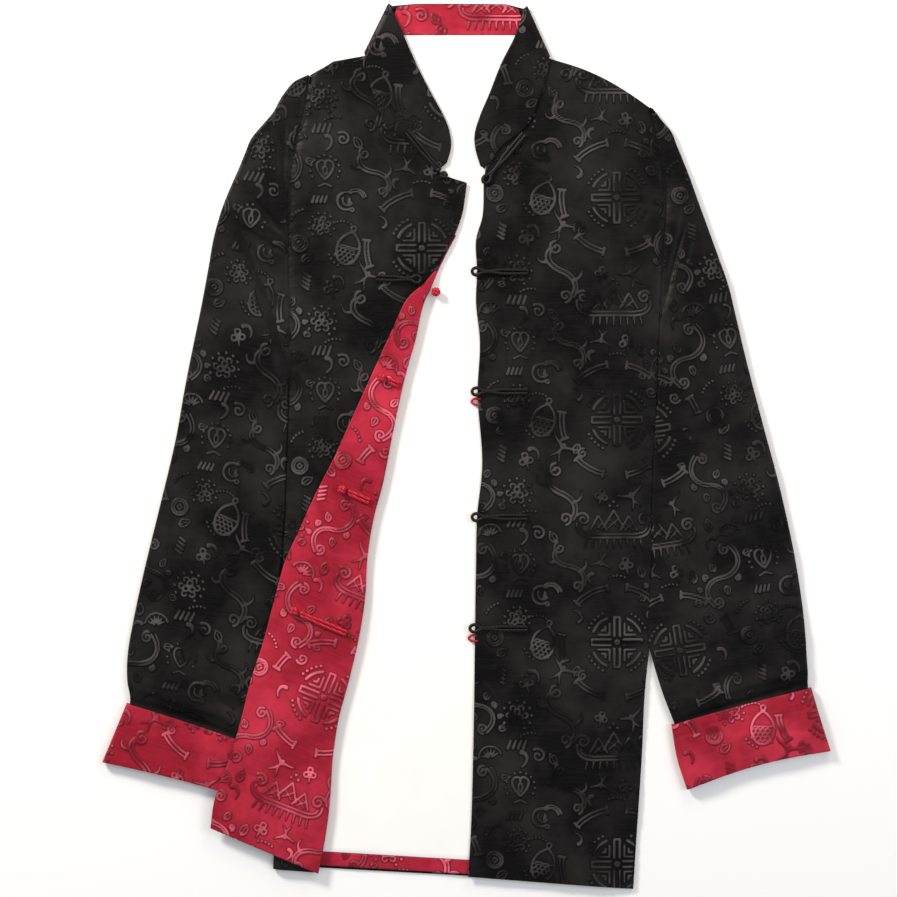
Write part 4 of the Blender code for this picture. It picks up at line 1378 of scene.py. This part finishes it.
def brocade(name, ground, tone_and_sheen, shadow_colour, figure, figure_low, ground_gloss, figure_gloss, specular):
    """Jacquard satin: a dark glossy ground, and a matt figure of floats raised on it.

    To the eye the ground is a soft mirror that goes light and dark with each fold, and its colour
    varies in patches of random tone and painted sheen. The figure is lighter in most light, and is
    painted dimmer in random patches, for wear and for the satin's sheen drowning it. A painted
    shadow darkens the ground beside its lines.
    """
    made, tree, shader = new_material(name)
    spot = add(tree, "ShaderNodeTexCoord", {})
    woven = add(tree, "ShaderNodeUVMap", {}, uv_map="cloth").outputs[0]
    distance = add(tree, "ShaderNodeAttribute", {}, attribute_name="figure").outputs["Fac"]
    floats = add(tree, "ShaderNodeMapRange", {0: distance, 1: 0.34, 2: -0.30, 3: 0.0, 4: 1.0},
                 interpolation_type="SMOOTHSTEP").outputs[0]
    # painted shadow: the ground within a millimetre or two of each line of the figure is darkened,
    # as if the raised floats shaded it
    edge_shadow = add(tree, "ShaderNodeMapRange", {0: distance, 1: 1.7, 2: 0.35, 3: 0.0, 4: 1.0},
                interpolation_type="SMOOTHSTEP").outputs[0]
    # patches a hand or two wide where the figure stands out, painted brighter, and where it
    # drowns, painted dimmer: partly wear and partly painted light of the satin's sheen
    patches = add(tree, "ShaderNodeTexNoise", {"Vector": spot.outputs["Object"], "Scale": 15.0,
                                               "Detail": 3.0, "Roughness": 0.65}).outputs[0]
    showing = add(tree, "ShaderNodeMapRange", {0: patches, 1: 0.40, 2: 0.66, 3: 0.0, 4: 1.0})
    # slubs: threads that are a little thicker for a few centimetres along the weft
    stretch = add(tree, "ShaderNodeMapping", {"Vector": woven, "Scale": (40.0, 620.0, 1.0)})
    slubs = add(tree, "ShaderNodeTexNoise", {"Vector": stretch.outputs[0], "Scale": 1.0,
                                             "Detail": 2.0}).outputs[0]
    # the satin's diagonal, 0.5 mm on the real cloth and 1.1 mm here so that it shows
    twill = add(tree, "ShaderNodeTexWave", {"Vector": woven, "Scale": wave_scale(1.1),
                                            "Distortion": 0.6, "Detail": 1.0},
                bands_direction="DIAGONAL").outputs["Fac"]
    # patches of random tone that also stand for the satin's sheen: the lighter colour is painted
    # sheen, where folds would catch the light
    fade = add(tree, "ShaderNodeTexNoise", {"Vector": spot.outputs["Object"], "Scale": 13.0,
                                            "Detail": 4.0, "Roughness": 0.62}).outputs[0]
    tone_and_sheen_share = add(tree, "ShaderNodeMapRange", {0: fade, 1: 0.42, 2: 0.68, 3: 0.0, 4: 1.0})
    plain = add(tree, "ShaderNodeMix", {0: tone_and_sheen_share.outputs[0], 6: linear(ground),
                                        7: linear(tone_and_sheen)}, data_type="RGBA")
    threads = add(tree, "ShaderNodeMapRange", {0: slubs, 1: 0.35, 2: 0.75, 3: 0.0, 4: 0.22})
    slubbed = add(tree, "ShaderNodeMix", {0: threads.outputs[0], 6: plain.outputs[2],
                                          7: linear(tone_and_sheen)}, data_type="RGBA")
    # the painted shadow beside the figure's lines
    low = add(tree, "ShaderNodeMath", {0: edge_shadow, 1: 0.75}, operation="MULTIPLY")
    edge_shadowed = add(tree, "ShaderNodeMix", {0: low.outputs[0], 6: slubbed.outputs[2],
                                          7: linear(shadow_colour)}, data_type="RGBA")
    lit = add(tree, "ShaderNodeMix", {0: showing.outputs[0], 6: linear(figure_low),
                                      7: linear(figure)}, data_type="RGBA")
    colour = add(tree, "ShaderNodeMix", {0: floats, 6: edge_shadowed.outputs[2], 7: lit.outputs[2]},
                 data_type="RGBA")
    tree.links.new(colour.outputs[2], shader.inputs["Base Color"])
    gloss = add(tree, "ShaderNodeMapRange", {0: floats, 1: 0.0, 2: 1.0, 3: ground_gloss,
                                             4: figure_gloss})
    tree.links.new(gloss.outputs[0], shader.inputs["Roughness"])
    shader.inputs["Specular IOR Level"].default_value = specular
    shader.inputs["Sheen Weight"].default_value = 0.02
    shader.inputs["Sheen Roughness"].default_value = 0.5
    weave = add(tree, "ShaderNodeBump", {"Height": twill, "Strength": 0.35, "Distance": 0.00004})
    rough = add(tree, "ShaderNodeBump", {"Height": slubs, "Strength": 0.5, "Distance": 0.00012,
                                         "Normal": weave.outputs[0]})
    raised_by = add(tree, "ShaderNodeMapRange", {0: distance, 1: 0.9, 2: -0.7, 3: 0.0, 4: 1.0},
                    interpolation_type="SMOOTHSTEP").outputs[0]
    relief = add(tree, "ShaderNodeBump", {"Height": raised_by, "Strength": 1.0, "Distance": 0.0006,
                                          "Normal": rough.outputs[0]})
    tree.links.new(relief.outputs[0], shader.inputs["Normal"])
    return made


def plain_cotton(name, colour, shade):
    """Plain-woven cotton lining: matt, even, with a fine grid of threads and soft handling."""
    made, tree, shader = new_material(name)
    woven = add(tree, "ShaderNodeUVMap", {}, uv_map="cloth").outputs[0]
    # one thread each way every 0.6 mm, drawn at 1.4 mm so that it shows
    warp = add(tree, "ShaderNodeTexWave", {"Vector": woven, "Scale": wave_scale(1.4),
                                           "Distortion": 0.4}, bands_direction="X").outputs["Fac"]
    weft = add(tree, "ShaderNodeTexWave", {"Vector": woven, "Scale": wave_scale(1.4),
                                           "Distortion": 0.4}, bands_direction="Y").outputs["Fac"]
    grid = add(tree, "ShaderNodeMath", {0: warp, 1: weft}, operation="MAXIMUM").outputs[0]
    tone = add(tree, "ShaderNodeTexNoise", {"Vector": woven, "Scale": 14.0, "Detail": 4.0})
    mixed = add(tree, "ShaderNodeMix", {0: tone.outputs[0], 6: linear(colour),
                                        7: linear(shade)}, data_type="RGBA")
    tree.links.new(mixed.outputs[2], shader.inputs["Base Color"])
    shader.inputs["Roughness"].default_value = 0.85
    shader.inputs["Specular IOR Level"].default_value = 0.25
    bump = add(tree, "ShaderNodeBump", {"Height": grid, "Strength": 0.4, "Distance": 0.00005})
    tree.links.new(bump.outputs[0], shader.inputs["Normal"])
    return made


def covered_cord(name, colour, shine):
    """Satin bias strip sewn round a cord: its wrap runs slantwise and catches light in lines,
    which are painted in as lighter stripes of highlight as well as bumped.
    """
    made, tree, shader = new_material(name)
    spot = add(tree, "ShaderNodeTexCoord", {}).outputs["Object"]
    wrap = add(tree, "ShaderNodeTexWave", {"Vector": spot, "Scale": wave_scale(1.6),
                                           "Distortion": 1.5, "Detail": 1.0},
               bands_direction="DIAGONAL").outputs["Fac"]
    # painted highlight: the wrap's stripes are mixed towards the lighter shine colour
    mixed = add(tree, "ShaderNodeMix", {0: wrap, 6: linear(colour), 7: linear(shine)},
                data_type="RGBA")
    tree.links.new(mixed.outputs[2], shader.inputs["Base Color"])
    shader.inputs["Roughness"].default_value = 0.45
    shader.inputs["Specular IOR Level"].default_value = 0.2
    bump = add(tree, "ShaderNodeBump", {"Height": wrap, "Strength": 0.6, "Distance": 0.0002})
    tree.links.new(bump.outputs[0], shader.inputs["Normal"])
    return made


# ---- The jacket --------------------------------------------------------------------------

SLOTS = {
    "back_lining": "white_lining", "back_hem_facing": "red_brocade",
    "front_left_facing": "red_brocade", "cuff_right": "red_brocade",
    "cuff_left": "red_brocade", "collar_lining": "red_brocade",
}


def make_cloth():
    """Every piece of cloth, by name."""
    hem_left = (LINING[0][0], LINING[0][1] - FACING_DEPTH)
    hem_right = (LINING[0][2], LINING[0][3] - FACING_DEPTH)
    facing_strip = lay_strip("back_hem_facing", hem_left, hem_right, FACING_DEPTH - GAP,
                             LINING_WALL, LINING_TOP, (20, -300))
    made = [
        lay_back((20, 40)),
        lay_lining(),
        facing_strip,
        lay_front("front_right", FRONT_RIGHT, (4, 14, 15), ARMPIT_RIGHT, RIGHT_EDGE_Z, 1,
                  SHOWN_STEP, (135.5, 23.4)),
        lay_front("front_left", FRONT_LEFT, (19,), ARMPIT_LEFT, LEFT_EDGE_Z, -1,
                  LEFT_STEP, (-214, -22)),
        lay_turned_under((0, 0)),
        lay_facing((-128, -226)),
        lay_tube("sleeve_right", SLEEVE_COLUMNS, SLEEVE_RIGHT, SLEEVE_HEIGHT, WALL,
                 ARMPIT_RIGHT, 1, SLEEVE_STEP, (192, -184), 9, TURN_IN, None),
        lay_tube("sleeve_left", SLEEVE_COLUMNS, SLEEVE_LEFT, SLEEVE_HEIGHT, WALL,
                 ARMPIT_LEFT, -1, SLEEVE_STEP, (-150, -76), -9, TURN_IN, None),
        lay_tube("cuff_right", CUFF_COLUMNS, CUFF_RIGHT, CUFF_HEIGHT, CUFF_WALL, None, 1,
                 SHOWN_STEP, (330, -236), 15, 9.0, 26.0),
        lay_tube("cuff_left", CUFF_COLUMNS, CUFF_LEFT, CUFF_HEIGHT, CUFF_WALL, None, -1,
                 SHOWN_STEP, (-226, -236), -17, 9.0, 26.0),
        lay_collar((-12, 318)),
        lay_collar_lining((30, 290)),
    ]
    return {piece.name.removeprefix(SEWN): piece for piece in made}


def show(piece, material):
    """A piece rides on the body, stands for its solid and takes its finish from its slot."""
    piece.data.materials.append(material)
    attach(piece, "root")
    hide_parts(piece.name.removeprefix(SEWN))


def make_jacket():
    finishes = {
        # each brocade's colours: ground, its random tone and painted sheen, the painted shadow
        # beside the figure, and the figure bright and dimmed
        "black_brocade": brocade("black_jacquard_satin", "#070607", "#262323", "#030303",
                                 "#4f4a4b", "#151313", 0.42, 0.48, 0.08),
        "red_brocade": brocade("red_jacquard_satin", "#891124", "#c22f46", "#5e0716",
                               "#ee6a80", "#7f0f24", 0.40, 0.46, 0.16),
        "white_lining": plain_cotton("white_plain_cotton", "#fbfaf8", "#f0eeec"),
        "black_cord": covered_cord("black_bias_covered_cord", "#0a0909", "#1c1a1a"),
        "red_cord": covered_cord("red_bias_covered_cord", "#991227", "#c02a3f"),
    }
    pieces = make_cloth()
    for name, piece in pieces.items():
        slot = SLOTS.get(name, "black_brocade")
        show(piece, finishes[slot])
    for cloth, parts in lay_frogs(pieces):
        for part in parts:
            show(part, finishes[cloth + "_cord"])


# ---- The studio --------------------------------------------------------------------------

def matt_paint(name, colour):
    """Matt white paint on a studio table: no gloss, and a trace of roller texture."""
    made, tree, shader = new_material(name)
    spot = add(tree, "ShaderNodeTexCoord", {}).outputs["Object"]
    stipple = add(tree, "ShaderNodeTexNoise", {"Vector": spot, "Scale": 420.0, "Detail": 2.0})
    bump = add(tree, "ShaderNodeBump", {"Height": stipple.outputs[0], "Strength": 0.15,
                                        "Distance": 0.0002})
    tree.links.new(bump.outputs[0], shader.inputs["Normal"])
    shader.inputs["Base Color"].default_value = linear(colour)
    shader.inputs["Roughness"].default_value = 0.9
    shader.inputs["Specular IOR Level"].default_value = 0.1
    return made


def make_studio():
    """A pale table top, soft lamps round it, and the camera straight above."""
    bm = bmesh.new()
    bmesh.ops.create_grid(bm, x_segments=1, y_segments=1, size=2.5)
    bmesh.ops.translate(bm, vec=(0, 0, -0.0002), verts=bm.verts)
    mesh = bpy.data.meshes.new("floor")
    bm.to_mesh(mesh)
    bm.free()
    floor = put("floor", mesh)
    floor.data.materials.append(matt_paint("matt_white_paint", "#f6f6f6"))

    lamp_columns = ("name", "place", "size", "watts", "colour")
    lamps = [
        ("key_lamp", (-1.15, 1.15, 0.85), 0.40, 38.0, "#fff8ee"),
        ("fill_lamp", (1.5, 0.1, 1.4), 1.0, 12.0, "#eef4ff"),
        ("shoulder_lamp", (0.6, 1.5, 0.8), 0.7, 10.0, "#ffe0bd"),
    ]
    for row in named(lamp_columns, lamps):
        light = bpy.data.lights.new(row["name"], "AREA")
        light.shape = "DISK"
        light.size = row["size"]
        light.energy = row["watts"]
        light.color = linear(row["colour"])[:3]
        lamp = put(row["name"], light)
        lamp.location = row["place"]
        lamp.rotation_euler = (-Vector(row["place"])).to_track_quat("-Z", "Y").to_euler()

    world = bpy.data.worlds.new("soft_room")
    world.use_nodes = True
    background = world.node_tree.nodes["Background"]
    background.inputs["Color"].default_value = linear("#f4f6f8")
    background.inputs["Strength"].default_value = 0.55
    bpy.context.scene.world = world
    bpy.context.scene.view_settings.view_transform = "Standard"

    lens, sensor = 85.0, 36.0
    view_width = 0.8073
    cloth_height = 0.005
    middle = (-0.0162, -0.00225)
    camera_data = bpy.data.cameras.new("camera")
    camera_data.lens = lens
    camera_data.sensor_width = sensor
    camera = put("camera", camera_data)
    camera.location = (*middle, cloth_height + view_width * lens / sensor)
    bpy.context.scene.camera = camera


make_jacket()
make_studio()
